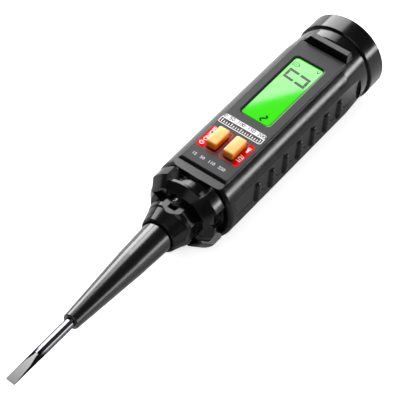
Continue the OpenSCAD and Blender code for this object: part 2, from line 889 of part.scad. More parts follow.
module battery_tray() {
    color("#2c2c2c") in_place() difference() {
        intersection() {
            union() {
                block(x_tray, x_tray_end, 2 * (cavity_side - fit), tray_top - tray_t, tray_top);
                for (x = [x_tray, x_tray_end - tray_wall])
                    block(x, x + tray_wall, 2 * (cavity_side - fit), -tray_depth, tray_top);
                translate([0, 0, tray_top - tray_t - tray_ridge])
                    block(x_tray, x_tray_end, tray_wall, 0, tray_ridge);
            }
            rod(2 * (cavity_rear_r - fit), x_tray - cut, x_tray_end + cut);
        }
        for (y = [cell_y, -cell_y]) translate([0, y, 0])
            block(x_tray_end - tray_wall - plate_t - fit, x_tray_end - tray_wall + fit,
                contact_tab_w + 2 * fit, tray_top - tray_t - cut, tray_top + cut);
    }
}

front_shell();
rear_shell();
battery_cover();
battery_cover_screw();
housing_screws();
blade();
insulating_sleeve();
blade_contact_spring();
blade_contact_plate();
circuit_board();
controller_chip();
limiting_resistor();
board_capacitors();
buzzer();
power_button();
mode_button();
power_switch_base();
mode_switch_base();
power_switch_plunger();
mode_switch_plunger();
display_window();
lcd_glass();
lcd_backlight();
backlight_led();
lcd_frame();
lcd_contact_strip();
panel_overlay();
torch_led();
torch_led_leads();
cell_left();
cell_right();
cell_spring_left();
cell_spring_right();
battery_bridge();
battery_terminal_left();
battery_terminal_right();
battery_tray();
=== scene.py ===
"""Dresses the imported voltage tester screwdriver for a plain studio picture.

Every piece keeps the row's frame: +X runs along the tool from the blade to the cap, +Y is to the left, +Z stands out
of the display panel, and the floor is at zero. Sizes and places are written in millimetres in that frame, and turned to
metres where a mesh or a pattern is made.
"""

from __future__ import annotations

import logging
import math
from dataclasses import dataclass, field
from enum import Enum
from functools import cache, cached_property

import bmesh
import bpy
from mathutils import Matrix, Vector

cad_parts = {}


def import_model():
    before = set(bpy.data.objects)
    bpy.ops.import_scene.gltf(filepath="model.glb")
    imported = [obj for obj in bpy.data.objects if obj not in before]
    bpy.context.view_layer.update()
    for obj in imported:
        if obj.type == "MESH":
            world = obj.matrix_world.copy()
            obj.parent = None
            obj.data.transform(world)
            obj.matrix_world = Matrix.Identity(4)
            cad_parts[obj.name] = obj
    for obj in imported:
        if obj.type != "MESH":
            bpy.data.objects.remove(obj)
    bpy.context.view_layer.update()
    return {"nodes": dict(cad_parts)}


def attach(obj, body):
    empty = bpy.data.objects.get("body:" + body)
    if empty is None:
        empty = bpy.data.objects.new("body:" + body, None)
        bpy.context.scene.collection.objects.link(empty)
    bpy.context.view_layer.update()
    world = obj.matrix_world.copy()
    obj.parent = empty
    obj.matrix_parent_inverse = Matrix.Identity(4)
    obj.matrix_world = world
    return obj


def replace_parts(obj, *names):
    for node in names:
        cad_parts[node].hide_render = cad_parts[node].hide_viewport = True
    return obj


log = logging.getLogger("tester")
HOUSING = "housing"
WHITE = (1.0, 1.0, 1.0, 1.0)
# One millimetre in metres, and half the tool's length in mm.
MM = 0.001
HALF_LENGTH = 92.5
# Two heights nearer to each other than this, in mm, are the same.
TINY = 1e-4
# Points nearer to each other than this, in mm, become one.
WELD = 0.0005
# A noise texture hardly ever leaves this span.
NOISE_SPAN = (0.3, 0.7)
# Least roughness that a patch may have.
SMOOTHEST = 0.02

Pair = tuple[float, float]
Triple = tuple[float, float, float]
Mesh = bmesh.types.BMesh
Socket = bpy.types.NodeSocket
Object = bpy.types.Object


# Shared helpers


def srgb(colour: str) -> tuple[float, float, float, float]:
    """Turns an sRGB hex colour into linear red, green and blue, and full opacity.

    Args:
        colour: Six hex digits after a number sign.

    Returns:
        The four linear values.
    """
    values = [int(colour[i:i + 2], 16) / 255 for i in (1, 3, 5)]
    red, green, blue = (v / 12.92 if v <= 0.04045 else ((v + 0.055) / 1.055) ** 2.4 for v in values)
    return red, green, blue, 1.0


def add_object(name: str, data: bpy.types.ID) -> Object:
    """Puts a new object into the scene.

    Args:
        name: Name of the object.
        data: Its mesh, text, lamp or camera.

    Returns:
        The new object.
    """
    made = bpy.data.objects.new(name, data)
    bpy.context.scene.collection.objects.link(made)
    return made


def mesh_object(bm: Mesh, name: str) -> Object:
    """Turns a bmesh in metres into an object.

    Args:
        bm: Finished mesh. It is freed.
        name: Name of the object.

    Returns:
        The new object.
    """
    mesh = bpy.data.meshes.new(name)
    bm.to_mesh(mesh)
    bm.free()
    return add_object(name, mesh)


def dress(piece: Object, material: bpy.types.Material) -> None:
    """Gives every material slot of a piece the same material.

    Args:
        piece: Object to dress.
        material: Material that it gets.
    """
    slots = piece.data.materials
    if not slots:
        slots.append(material)
    for i in range(len(slots)):
        slots[i] = material


def soften(bm: Mesh, parts: list, radius: float, segments: int, affect: str = "EDGES") -> list:
    """Rounds edges or corners off.

    Args:
        bm: Mesh that holds them.
        parts: Edges or corner points.
        radius: How far the rounding reaches, in mm.
        segments: Steps in it.
        affect: EDGES or VERTICES, for what is rounded.

    Returns:
        The new corner points.
    """
    return bmesh.ops.bevel(bm, geom=parts, offset=radius, offset_type="OFFSET", affect=affect, segments=segments,
                           profile=0.5, material=-1, clamp_overlap=True)["verts"]


def outline(bm: Mesh, size: Pair, centre: Pair, radius: float, z: float, segments: int = 6) -> list:
    """Adds one flat face with round corners.

    Args:
        bm: Mesh that gets the face.
        size: Length along X and width along Y.
        centre: X and Y of its middle.
        radius: Corner radius.
        z: Height of the face.
        segments: Steps in each corner.

    Returns:
        The new face, in a list.
    """
    verts = bmesh.ops.create_grid(bm, x_segments=1, y_segments=1, size=0.5)["verts"]
    bmesh.ops.scale(bm, vec=(*size, 1.0), verts=verts)
    bmesh.ops.translate(bm, vec=(*centre, z), verts=verts)
    rounded = soften(bm, verts, radius, segments, "VERTICES")
    return list({face for vert in rounded for face in vert.link_faces})


def collar(bm: Mesh, sizes: tuple[Pair, Pair], centre: Pair, corners: Pair, heights: Pair) -> list:
    """Spans the gap between two outlines with round corners.

    Args:
        bm: Empty mesh that gets the faces.
        sizes: Length and width of each outline.
        centre: X and Y of the middle of both.
        corners: Corner radius of each.
        heights: Z of each.

    Returns:
        The new faces.
    """
    made = [face for size, corner, z in zip(sizes, corners, heights)
            for face in outline(bm, size, centre, corner, z, segments=8)]
    bmesh.ops.delete(bm, geom=made, context="FACES_ONLY")
    return bmesh.ops.bridge_loops(bm, edges=list(bm.edges))["faces"]


def fill_between(bm: Mesh) -> list:
    """Turns nested flat faces into one surface with holes.

    Args:
        bm: Mesh that holds the outer face and those of the holes.

    Returns:
        The faces of the new surface.
    """
    bmesh.ops.delete(bm, geom=list(bm.faces), context="FACES_ONLY")
    bmesh.ops.triangle_fill(bm, use_beauty=True, use_dissolve=False, edges=list(bm.edges))
    return list(bm.faces)


def raise_faces(bm: Mesh, faces: list, thickness: float) -> None:
    """Extrudes flat faces upwards into a closed slab.

    Args:
        bm: Mesh that holds the faces.
        faces: Faces to raise.
        thickness: Height of the slab.
    """
    made = bmesh.ops.extrude_face_region(bm, geom=faces, use_keep_orig=True)["geom"]
    verts = [part for part in made if isinstance(part, bmesh.types.BMVert)]
    bmesh.ops.translate(bm, vec=(0.0, 0.0, thickness), verts=verts)


def box(bm: Mesh, low: Triple, high: Triple) -> list:
    """Adds a box.

    Args:
        bm: Mesh that gets it.
        low: Its lowest corner.
        high: Its highest corner.

    Returns:
        Its corner points.
    """
    verts = bmesh.ops.create_cube(bm, size=1.0)["verts"]
    bmesh.ops.scale(bm, vec=[b - a for a, b in zip(low, high)], verts=verts)
    bmesh.ops.translate(bm, vec=[(a + b) / 2 for a, b in zip(low, high)], verts=verts)
    return verts


def edges_at(bm: Mesh, z: float, sharper_than: float = 0.0) -> list:
    """Finds the level edges at one height.

    Args:
        bm: Mesh to look through.
        z: Their height.
        sharper_than: Least angle in degrees between the faces on both sides.

    Returns:
        The edges.
    """
    limit = math.radians(sharper_than)
    return [e for e in bm.edges if all(abs(v.co.z - z) < TINY for v in e.verts) and (
        not limit or len(e.link_faces) == 2 and e.calc_face_angle(0.0) > limit)]


class Recipe:
    """Nodes of one material or of the room.

    Attributes:
        tree: Tree that the nodes go into.
    """

    def __init__(self, owner: bpy.types.Material | bpy.types.World) -> None:
        """Clears the owner's nodes.

        Args:
            owner: Material or world that gets the nodes.
        """
        owner.use_nodes = True
        self.tree = owner.node_tree
        self.tree.nodes.clear()

    def add(self, kind: str, inputs: dict | tuple = (), **settings: object) -> bpy.types.Node:
        """Adds a shader node with its settings, values and links.

        Args:
            kind: Blender's name of the node type, without its ShaderNode prefix.
            inputs: Values, or output sockets that feed the node, by socket or from the first socket on.
            **settings: Properties of the node.

        Returns:
            The new node.
        """
        made = self.tree.nodes.new("ShaderNode" + kind)
        for name, value in settings.items():
            setattr(made, name, value)
        for key, value in inputs.items() if isinstance(inputs, dict) else enumerate(inputs):
            if isinstance(value, Socket):
                self.tree.links.new(value, made.inputs[key])
            else:
                made.inputs[key].default_value = value
        return made

    @cached_property
    def mm(self) -> Socket:
        """Gives the place on the object in mm."""
        where = self.add("TexCoord").outputs["Object"]
        return self.add("Mapping", {"Vector": where, "Scale": (1 / MM,) * 3}).outputs[0]

    @cached_property
    def axes(self) -> bpy.types.bpy_prop_collection:
        """Gives X, Y and Z of that place."""
        return self.add("SeparateXYZ", (self.mm,)).outputs


# Finishes


@dataclass(frozen=True)
class Finish:
    """Moulded or coated surface with grain, a little unevenness and soft edges.

    Attributes:
        name: Plain name of the material.
        colour: sRGB hex colour of the surface.
        roughness: Middle roughness.
        metallic: 0 for plastics, 1 for metals.
        ior: Index of refraction of a plastic or a glass.
        grain: Size of the surface grain.
        grain_depth: Height of the grain.
        swing: How far roughness moves up and down over the surface.
        shade: Share by which the colour varies over the surface.
        edge: Radius by which sharp edges look broken, or 0.
        coat: Weight of a clear lacquer on top.
        coat_roughness: Roughness of that lacquer.
        specular: Strength of the plain reflection, 0.5 being the material's own.
    """

    name: str
    colour: str
    roughness: float
    metallic: float = 0.0
    ior: float = 1.5
    grain: float = 0.3
    grain_depth: float = 0.004
    swing: float = 0.05
    shade: float = 0.06
    edge: float = 0.0
    coat: float = 0.0
    coat_roughness: float = 0.1
    specular: float = 0.5

    def pattern(self, nodes: Recipe) -> Socket:
        """Gives the height of the grain, from 0 to 1."""
        return nodes.add("TexNoise", {"Vector": nodes.mm, "Scale": 1 / self.grain, "Detail": 3.0,
                                      "Roughness": 0.6}).outputs[0]

    def relief(self, nodes: Recipe) -> Socket:
        """Gives the surface normal with the grain and the broken edges in it.

        Args:
            nodes: The material's nodes.

        Returns:
            The normal.
        """
        links: dict = {"Height": self.pattern(nodes), "Distance": self.grain_depth * MM, "Strength": 1.0}
        if self.edge:
            links["Normal"] = nodes.add("Bevel", {"Radius": self.edge * MM}, samples=6).outputs[0]
        return nodes.add("Bump", links).outputs[0]

    def clouds(self, nodes: Recipe, scale: float, detail: float, low: float, high: float) -> Socket:
        """Gives a value that drifts over the surface in soft patches.

        Args:
            nodes: The material's nodes.
            scale: Patches per mm.
            detail: Finer patches laid over them.
            low: Value in the low patches.
            high: Value in the high ones.

        Returns:
            The value.
        """
        cloud = nodes.add("TexNoise", {"Vector": nodes.mm, "Scale": scale, "Detail": detail}).outputs[0]
        return nodes.add("MapRange", (cloud, *NOISE_SPAN, low, high)).outputs[0]

    def tint(self, nodes: Recipe) -> Socket:
        """Gives the colour with its slow variation over the surface."""
        level = self.clouds(nodes, scale=0.08, detail=2.0, low=1 - self.shade, high=1 + self.shade)
        return nodes.add("VectorMath", {0: srgb(self.colour)[:3], "Scale": level}, operation="SCALE").outputs[0]

    def sheen_level(self, nodes: Recipe) -> Socket:
        """Gives roughness with its patches of handling and mould wear."""
        low = max(SMOOTHEST, self.roughness - self.swing)
        return self.clouds(nodes, scale=0.35, detail=4.0, low=low, high=self.roughness + self.swing)

    def sockets(self, nodes: Recipe) -> dict:
        """Gives the values and links of the surface shader.

        Args:
            nodes: The material's nodes.

        Returns:
            Socket name to value or to the output that feeds it.
        """
        values = {
            "Base Color": self.tint(nodes), "Roughness": self.sheen_level(nodes), "Metallic": self.metallic,
            "Normal": self.relief(nodes), "Coat Weight": self.coat, "Coat Roughness": self.coat_roughness,
            "Specular IOR Level": self.specular}
        if not self.metallic:
            values["IOR"] = self.ior
        return values

    @cache
    def build(self) -> bpy.types.Material:
        """Makes the material once and gives it again when it is asked for again.

        Returns:
            The material.
        """
        material = bpy.data.materials.new(self.name)
        nodes = Recipe(material)
        shader = nodes.add("BsdfPrincipled", self.sockets(nodes))
        nodes.add("OutputMaterial", {"Surface": shader.outputs[0]})
        return material


@dataclass(frozen=True)
class MouldedShell(Finish):
    """Spark-eroded ABS whose joint line between the shells runs in waves past the ribs.

    Attributes:
        first_rib: X of the first rib.
        pitch: Spacing of the ribs.
        ribs: Number of ribs.
        lead: Share of the spacing by which a wave starts before its rib.
        wave: Share of the spacing and share of the rise at each bend of the line.
        line_z: Z of the line just before a rib and on a rib.
        line_width: Width of the groove.
        line_depth: Depth of the groove, as a multiple of the grain's.
        line_dulling: How much rougher its floor is.
    """

    first_rib: float = 0.0
    pitch: float = 8.1
    ribs: int = 7
    lead: float = 0.15
    wave: tuple[Pair, ...] = ((0.0, 0.15), (0.1, 1.0), (0.35, 0.85), (0.7, 0.1), (1.0, 0.0))
    line_z: Pair = (11.0, 13.6)
    line_width: float = 0.6
    line_depth: float = 25.0
    line_dulling: float = 0.8

    def groove(self, nodes: Recipe) -> Socket:
        """Finds the joint line, whose height repeats with every rib.

        Args:
            nodes: The material's nodes.

        Returns:
            1 in the line and 0 beside it.
        """
        turn = nodes.axes["X"]
        for operation, number in (("SUBTRACT", self.first_rib - self.lead * self.pitch), ("MAXIMUM", 0.0),
                                  ("MINIMUM", self.ribs * self.pitch), ("DIVIDE", self.pitch), ("FRACT", 0.0)):
            turn = nodes.add("Math", (turn, number), operation=operation).outputs[0]
        bends = nodes.add("ValToRGB", (turn,))
        ramp = bends.color_ramp
        ramp.interpolation = "EASE"
        while len(ramp.elements) < len(self.wave):
            ramp.elements.new(0.5)
        for element, (place, level) in zip(ramp.elements, self.wave):
            element.position = place
            element.color = (level, level, level, 1.0)
        line = nodes.add("MapRange", (bends.outputs[0], 0.0, 1.0, *self.line_z)).outputs[0]
        above = nodes.add("Math", (nodes.axes["Z"], line), operation="SUBTRACT").outputs[0]
        off = nodes.add("Math", (above,), operation="ABSOLUTE").outputs[0]
        return nodes.add("MapRange", (off, self.line_width / 4, self.line_width / 2, 1.0, 0.0)).outputs[0]

    def sockets(self, nodes: Recipe) -> dict:
        """Adds the dull floor of the joint line to the surface.

        Args:
            nodes: The material's nodes.

        Returns:
            Socket name to value or to the output that feeds it.
        """
        values = super().sockets(nodes)
        values["Roughness"] = nodes.add("Math", (self.groove(nodes), self.line_dulling, values["Roughness"]),
                                        operation="MULTIPLY_ADD", use_clamp=True).outputs[0]
        return values

    def pattern(self, nodes: Recipe) -> Socket:
        """Gives the grain with the joint line sunk into it."""
        sizes = (self.groove(nodes), -self.line_depth, super().pattern(nodes))
        return nodes.add("Math", sizes, operation="MULTIPLY_ADD").outputs[0]


@dataclass(frozen=True)
class BrushedMetal(Finish):
    """Metal with fine lines from grinding or drawing.

    Attributes:
        stretch: Scale of the lines along X, Y and Z, per mm.
    """

    metallic: float = 1.0
    grain_depth: float = 0.003
    swing: float = 0.06
    stretch: Triple = (0.2, 6.0, 6.0)

    def pattern(self, nodes: Recipe) -> Socket:
        """Gives drawn-out lines."""
        drawn = nodes.add("Mapping", {"Vector": nodes.mm, "Scale": self.stretch}).outputs[0]
        return nodes.add("TexNoise", {"Vector": drawn, "Scale": 1.0, "Detail": 4.0, "Roughness": 0.7}).outputs[0]


@dataclass(frozen=True)
class GroundBlade(Finish):
    """Bright chrome on the round shank; on the flattened tip, a ground face painted from a highlight near the shank to
    shade at the edge, and painted shade on its narrow sides.

    Attributes:
        ground_end: X at which the ground flats run out.
        ground_fade: Length over which the lines fade out before it.
        line: Spacing of the grinding lines.
        line_draw: Scale of the lines along their run, per mm.
        painted_highlight_colour: sRGB hex colour of the painted highlight on the ground face near the shank.
        painted_shade_colour: sRGB hex colour of the painted shade on the ground face at the edge.
        rim: sRGB hex tint of the reflection near grazing angles.
        scale: sRGB hex colour of the painted shade on the tip's narrow sides.
        side_turn: How far a face is turned to the side where that colour starts and where it is full.
        side_end: How far behind the ground face it starts to fade and is gone.
    """

    ground_end: float = -80.0
    ground_fade: float = 0.6
    line: float = 0.35
    line_draw: float = 0.25
    # The ground face's two colours are a painted highlight and painted shade; the narrow sides' colour is painted shade
    # too.
    painted_highlight_colour: str = "#FFFFFF"
    painted_shade_colour: str = "#C4C4C6"
    rim: str = "#000000"
    scale: str = "#1A1A1C"
    side_turn: Pair = (0.1, 0.3)
    side_end: Pair = (0.5, 3.0)

    def ground(self, nodes: Recipe) -> Socket:
        """Gives 1 on the ground tip and 0 on the shank."""
        reach = (nodes.axes["X"], self.ground_end - self.ground_fade, self.ground_end, 1.0, 0.0)
        return nodes.add("MapRange", reach).outputs[0]

    def painted_shade_sides(self, nodes: Recipe) -> Socket:
        """Finds the tip's narrow sides, which get painted shade.

        Args:
            nodes: The material's nodes.

        Returns:
            1 on them and 0 elsewhere.
        """
        facing = nodes.add("TexCoord").outputs["Normal"]
        side = nodes.add("SeparateXYZ", (facing,)).outputs["Y"]
        turned = nodes.add("Math", (side,), operation="ABSOLUTE").outputs[0]
        steep = nodes.add("MapRange", (turned, *self.side_turn)).outputs[0]
        fade = [self.ground_end + reach for reach in self.side_end]
        near = nodes.add("MapRange", (nodes.axes["X"], *fade, 1.0, 0.0)).outputs[0]
        return nodes.add("Math", (steep, near), operation="MULTIPLY").outputs[0]

    def tint(self, nodes: Recipe) -> Socket:
        """Mixes the chrome, the ground face's painted highlight that fades into painted shade toward the edge, and the
        painted shade on the sides.

        Args:
            nodes: The material's nodes.

        Returns:
            The colour.
        """
        along = nodes.add("MapRange", (nodes.axes["X"], -HALF_LENGTH, self.ground_end)).outputs[0]
        # The ground face fades from a painted highlight near the shank to painted shade at the edge; the sides get
        # painted shade.
        face = nodes.add("Mix", {0: along, 6: srgb(self.painted_shade_colour), 7: srgb(self.painted_highlight_colour)}, data_type="RGBA").outputs[2]
        flat = nodes.add("Mix", {0: self.ground(nodes), 6: super().tint(nodes), 7: face}, data_type="RGBA").outputs[2]
        return nodes.add("Mix", {0: self.painted_shade_sides(nodes), 6: flat, 7: srgb(self.scale)}, data_type="RGBA").outputs[2]

    def sockets(self, nodes: Recipe) -> dict:
        """Adds chrome's darker reflection near grazing angles."""
        return super().sockets(nodes) | {"Specular Tint": srgb(self.rim)}

    def pattern(self, nodes: Recipe) -> Socket:
        """Gives grinding lines that run across the tip.

        Args:
            nodes: The material's nodes.

        Returns:
            Their height, from 0 to 1.
        """
        stretch = (1 / self.line, self.line_draw, self.line_draw)
        drawn = nodes.add("Mapping", {"Vector": nodes.mm, "Scale": stretch}).outputs[0]
        lines = nodes.add("TexNoise", {"Vector": drawn, "Scale": 1.0, "Detail": 3.0}).outputs[0]
        return nodes.add("Math", (lines, self.ground(nodes)), operation="MULTIPLY").outputs[0]

    def sheen_level(self, nodes: Recipe) -> Socket:
        """Gives a mirror shank and a duller tip."""
        levels = (self.ground(nodes), 0.0, 1.0, self.roughness, self.roughness + self.swing)
        return nodes.add("MapRange", levels).outputs[0]


@dataclass(frozen=True)
class LitPanel(Finish):
    """Display glass lit from behind through a coloured guide, darker toward its rim.

    Attributes:
        low: X and Y of the lowest lit corner.
        high: X and Y of the highest lit corner.
        glow: Strength of the light that comes through.
        rim: Width over which the light falls off at the rim.
        rim_level: Share of the light that is left at the rim.
        speckle: Patches of unevenness per mm.
        uneven: Share by which they change the light.
        unlit: sRGB hex colour of the display without its light.
    """

    low: Pair = (0.0, 0.0)
    high: Pair = (1.0, 1.0)
    glow: float = 1.0
    rim: float = 2.0
    rim_level: float = 0.6
    speckle: float = 2.2
    uneven: float = 0.06
    unlit: str = "#06140A"

    def sockets(self, nodes: Recipe) -> dict:
        """Adds the light that comes through to the surface.

        Args:
            nodes: The material's nodes.

        Returns:
            Socket name to value or to the output that feeds it.
        """
        speckle = {"Vector": nodes.mm, "Scale": self.speckle, "Detail": 2.0}
        patches = nodes.add("TexNoise", speckle).outputs[0]
        factors = [nodes.add("MapRange", (patches, 0.0, 1.0, 1 - self.uneven, 1 + self.uneven)).outputs[0]]
        for axis, low, high in zip("XY", self.low, self.high):
            for edge, inner in ((low, low + self.rim), (high, high - self.rim)):
                fall = (nodes.axes[axis], edge, inner, self.rim_level, 1.0)
                factors.append(nodes.add("MapRange", fall, interpolation_type="SMOOTHSTEP").outputs[0])
        level: object = self.glow
        for factor in factors:
            level = nodes.add("Math", (level, factor), operation="MULTIPLY").outputs[0]
        return super().sockets(nodes) | {"Base Color": srgb(self.unlit), "Emission Color": srgb(self.colour),
                                         "Emission Strength": level}


@dataclass(frozen=True)
class KeyWithPaintedTopHighlight(Finish):
    """Moulded key whose top carries a painted highlight in a paler tone than its sides.

    Attributes:
        face: sRGB hex colour of the painted highlight on the key's top.
        painted_highlight_z: Z above which the painted highlight is full.
        fade: Height over which the painted highlight fades out.
    """

    # The top's paler colour is a painted highlight.
    face: str = "#FDBF64"
    painted_highlight_z: float = 28.45
    fade: float = 0.5

    def tint(self, nodes: Recipe) -> Socket:
        """Gives the side colour low down and the painted highlight's colour on top."""
        share = nodes.add("MapRange", (nodes.axes["Z"], self.painted_highlight_z - self.fade, self.painted_highlight_z)).outputs[0]
        return nodes.add("Mix", {0: share, 6: super().tint(nodes), 7: srgb(self.face)}, data_type="RGBA").outputs[2]


@dataclass(frozen=True)
class ScreenInk(Finish):
    """Even layer of ink with a hint of the mesh that it was pressed through."""

    roughness: float = 0.5
    grain: float = 0.25
    grain_depth: float = 0.001
    shade: float = 0.02
    specular: float = 0.2


@dataclass(frozen=True)
class LiquidCrystal(Finish):
    """Mark of a display, smooth as the glass in front of it."""

    roughness: float = 0.05
    grain: float = 3.0
    grain_depth: float = 0.00005
    swing: float = 0.01
    shade: float = 0.05


@dataclass(frozen=True)
class ClearPane(Finish):
    """Clear plastic or epoxy that shows what lies behind it."""

    def sockets(self, nodes: Recipe) -> dict:
        """Lets the light through the surface."""
        return super().sockets(nodes) | {"Transmission Weight": 1.0}


# ABS gives deep satin black with soft broad lights and slightly broken mould edges.
SHELL = MouldedShell("satin_black_abs", "#0B0B0D", 0.18, grain=0.2, grain_depth=0.0007, swing=0.03, edge=0.3,
                     specular=0.28, first_rib=17.7)
# The same ABS without the joint line, on the cover that lifts out of the back.
COVER = Finish("satin_black_abs_cover", "#0C0C0E", 0.24, grain=0.2, grain_depth=0.0008, edge=0.25, specular=0.28)
# Glossy polypropylene sleeve: near-mirror black with crisp long lights.
SLEEVE = Finish("glossy_black_sleeve", "#030304", 0.24, grain=6.0, grain_depth=0.0004, swing=0.01, edge=0.2,
                specular=0.45, coat=0.5, coat_roughness=0.2)
# Chrome-plated vanadium steel: dark and white streaks on the shank, and a ground tip painted from a highlight to shade,
# with painted shade on its narrow sides.
BLADE = GroundBlade("chromed_steel_blade_painted_light", "#7C7D80", 0.12, metallic=1.0, grain_depth=0.006, swing=0.52,
                    ground_end=-79.8)
# Polycarbonate film, reverse-printed in dark grey, with a fine velvet face.
FILM = Finish("dark_grey_film", "#2B2B2D", 0.35, ior=1.58, grain=0.12, grain_depth=0.001, swing=0.03, shade=0.04,
              edge=0.05, specular=0.12)
# The cut edge of the film is polished and catches the side lights.
RIM = Finish("polished_film_edge", "#2A2A2C", 0.3, ior=1.58, grain=0.8, grain_depth=0.0005, swing=0.03,
             specular=0.22)
# A matte black sheet of painted shade on the walls round the window keeps them dark beside the lit display.
WALL_SHADE = Finish("matte_black_painted_shade", "#050505", 0.85, grain=0.15, grain_depth=0.0008, swing=0.03, shade=0.1,
               specular=0.02)
# Screen inks look flat and even on the film, and the red one stays deep because it hardly reflects.
RED_INK = ScreenInk("red_screen_ink", "#F20000", shade=0.03, specular=0.02)
WHITE_INK = ScreenInk("white_screen_ink", "#F6F6F6")
DARK_INK = ScreenInk("dark_screen_ink", "#101012")
PALE_INK = ScreenInk("pale_grey_ink", "#C9CCD0")
# Translucent orange silicone-coated key: soft, with a painted highlight that makes its top pale and leaves its sides a
# warmer orange.
KEY = KeyWithPaintedTopHighlight("orange_key_plastic_painted_highlight", "#FC7C0A", 0.42, ior=1.46, grain=0.22, grain_depth=0.006, shade=0.04)
# Liquid crystal shows as dark violet-grey or black marks on the lit ground.
SEGMENT = LiquidCrystal("dark_liquid_crystal", "#3A3540", specular=0.15)
SYMBOL = LiquidCrystal("black_liquid_crystal", "#0A120A", specular=0.1)
# Acrylic face bonded to the lit liquid crystal: saturated green behind a hard mirror-flat gloss.
DISPLAY = LitPanel("green_display_under_acrylic", "#40F010", 0.035, ior=1.49, grain=3.0, grain_depth=0.00005,
                   swing=0.005, low=(33.65, -5.7), high=(67.15, 5.7), rim=1.2, rim_level=0.82)
# The display's own glass under it has the grey-green of an unlit crystal.
CELL_GLASS = Finish("grey_green_display_glass", "#5E8A52", 0.12, ior=1.52, grain=2.0, grain_depth=0.0005, coat=0.5)
# Clear epoxy lamp body: water-clear, with a soft gloss.
LAMP = ClearPane("clear_epoxy", "#C9D2DE", 0.25, ior=1.53, grain=2.0, grain_depth=0.001, swing=0.02, shade=0.0)
# Zinc-plated steel with a dark passivation: grey, with fine turned lines.
SCREW = BrushedMetal("black_zinc_steel", "#5A5A5E", 0.38, grain_depth=0.004, swing=0.08, stretch=(4.0, 4.0, 0.4))
# Drawn wire and rolled strip show fine lines along the metal.
WIRE = BrushedMetal("nickel_plated_wire", "#B9BABC", 0.25)
BRASS = BrushedMetal("spring_brass_strip", "#C8A24A", 0.3)
TIN = BrushedMetal("tinned_lead", "#C4C6C8", 0.3)
# Solder mask and lacquers lie glossy and slightly wavy over what is under them.
BOARD = Finish("green_solder_mask", "#14532A", 0.3, ior=1.55, grain=0.9, coat=0.4)
RESISTOR = Finish("blue_lacquered_resistor", "#7FA3B8", 0.3, grain=0.8, grain_depth=0.006, coat=0.5)
CAPACITOR = Finish("dark_blue_sleeve", "#1C2A5A", 0.32, grain=0.9, grain_depth=0.003, coat=0.3)
CELL = Finish("printed_cell_jacket", "#23314F", 0.28, grain=1.5, grain_depth=0.003, coat=0.4)
# Moulded epoxy and small black or grey mouldings are matt with a fine grain.
CHIP = Finish("black_moulded_epoxy", "#1B1B1D", 0.6, grain=0.12)
BUZZER = Finish("black_buzzer_case", "#161616", 0.45, grain=0.2)
SWITCH = Finish("black_switch_case", "#1D1D1F", 0.5, grain=0.15)
PLUNGER = Finish("grey_switch_stem", "#6A6A6C", 0.45, grain=0.2, grain_depth=0.003)
FRAME = Finish("black_display_frame", "#141414", 0.5, grain=0.18)
TRAY = Finish("black_moulded_tray", "#19191B", 0.48, grain=0.18)
# Acrylic light guide and the lamp at its end are pale green and smooth.
GUIDE = Finish("light_guide_acrylic", "#9BEF7A", 0.15, ior=1.49, grain=1.2, grain_depth=0.002)
LIGHT_CHIP = Finish("green_lamp_chip", "#B6F59C", 0.25, ior=1.53, grain=0.8, grain_depth=0.002)
# Conductive rubber has fine dark layers across it.
STRIP = BrushedMetal("conductive_rubber_strip", "#8A5A4C", 0.7, metallic=0.0, grain_depth=0.01, swing=0.05,
                     stretch=(8.0, 0.2, 0.2))


# Sub-assemblies


class Key(Enum):
    """The two push-buttons, each with its node, which is also its body, and the Y of its middle."""

    POWER = ("power_button", 3.75)
    MODE = ("mode_button", -3.15)

    def __init__(self, node: str, y: float) -> None:
        """Keeps the two values under their names."""
        self.node = node
        self.y = y


@dataclass
class Assembly:
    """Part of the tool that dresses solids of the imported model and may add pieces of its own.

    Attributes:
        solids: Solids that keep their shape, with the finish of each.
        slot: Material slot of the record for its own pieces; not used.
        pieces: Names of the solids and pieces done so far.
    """

    solids: dict[str, Finish] = field(default_factory=dict)
    slot: str = "housing"
    pieces: list[str] = field(default_factory=list)

    def keep(self, bm: Mesh, name: str, finish: Finish, body: str = HOUSING, smooth_angle: float = 40.0) -> Object:
        """Turns a finished bmesh into a dressed piece that rides on a body.

        Args:
            bm: Mesh in mm. It is freed.
            name: Name of the piece.
            finish: Finish of its surface.
            body: Body that it rides on.
            smooth_angle: Angle in degrees up to which neighbouring faces shade as one.

        Returns:
            The new object.
        """
        bmesh.ops.remove_doubles(bm, verts=bm.verts, dist=WELD)
        bmesh.ops.recalc_face_normals(bm, faces=bm.faces)
        bmesh.ops.scale(bm, vec=(MM, MM, MM), verts=bm.verts)
        limit = math.radians(smooth_angle)
        for face in bm.faces:
            face.smooth = True
        for edge in bm.edges:
            edge.smooth = len(edge.link_faces) == 2 and edge.calc_face_angle(0.0) < limit
        piece = mesh_object(bm, name)
        dress(piece, finish.build())
        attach(piece, body)
        self.pieces.append(piece.name)
        return piece

    def add_pieces(self) -> None:
        """Builds the pieces of its own, here none."""

    def build(self, nodes: dict[str, Object]) -> list[str]:
        """Dresses the solids and builds the pieces.

        Args:
            nodes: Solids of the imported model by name.

        Returns:
            Names of the solids and pieces.
        """
        for name, finish in self.solids.items():
            dress(nodes[name], finish.build())
            self.pieces.append(name)
        self.add_pieces()
        return self.pieces


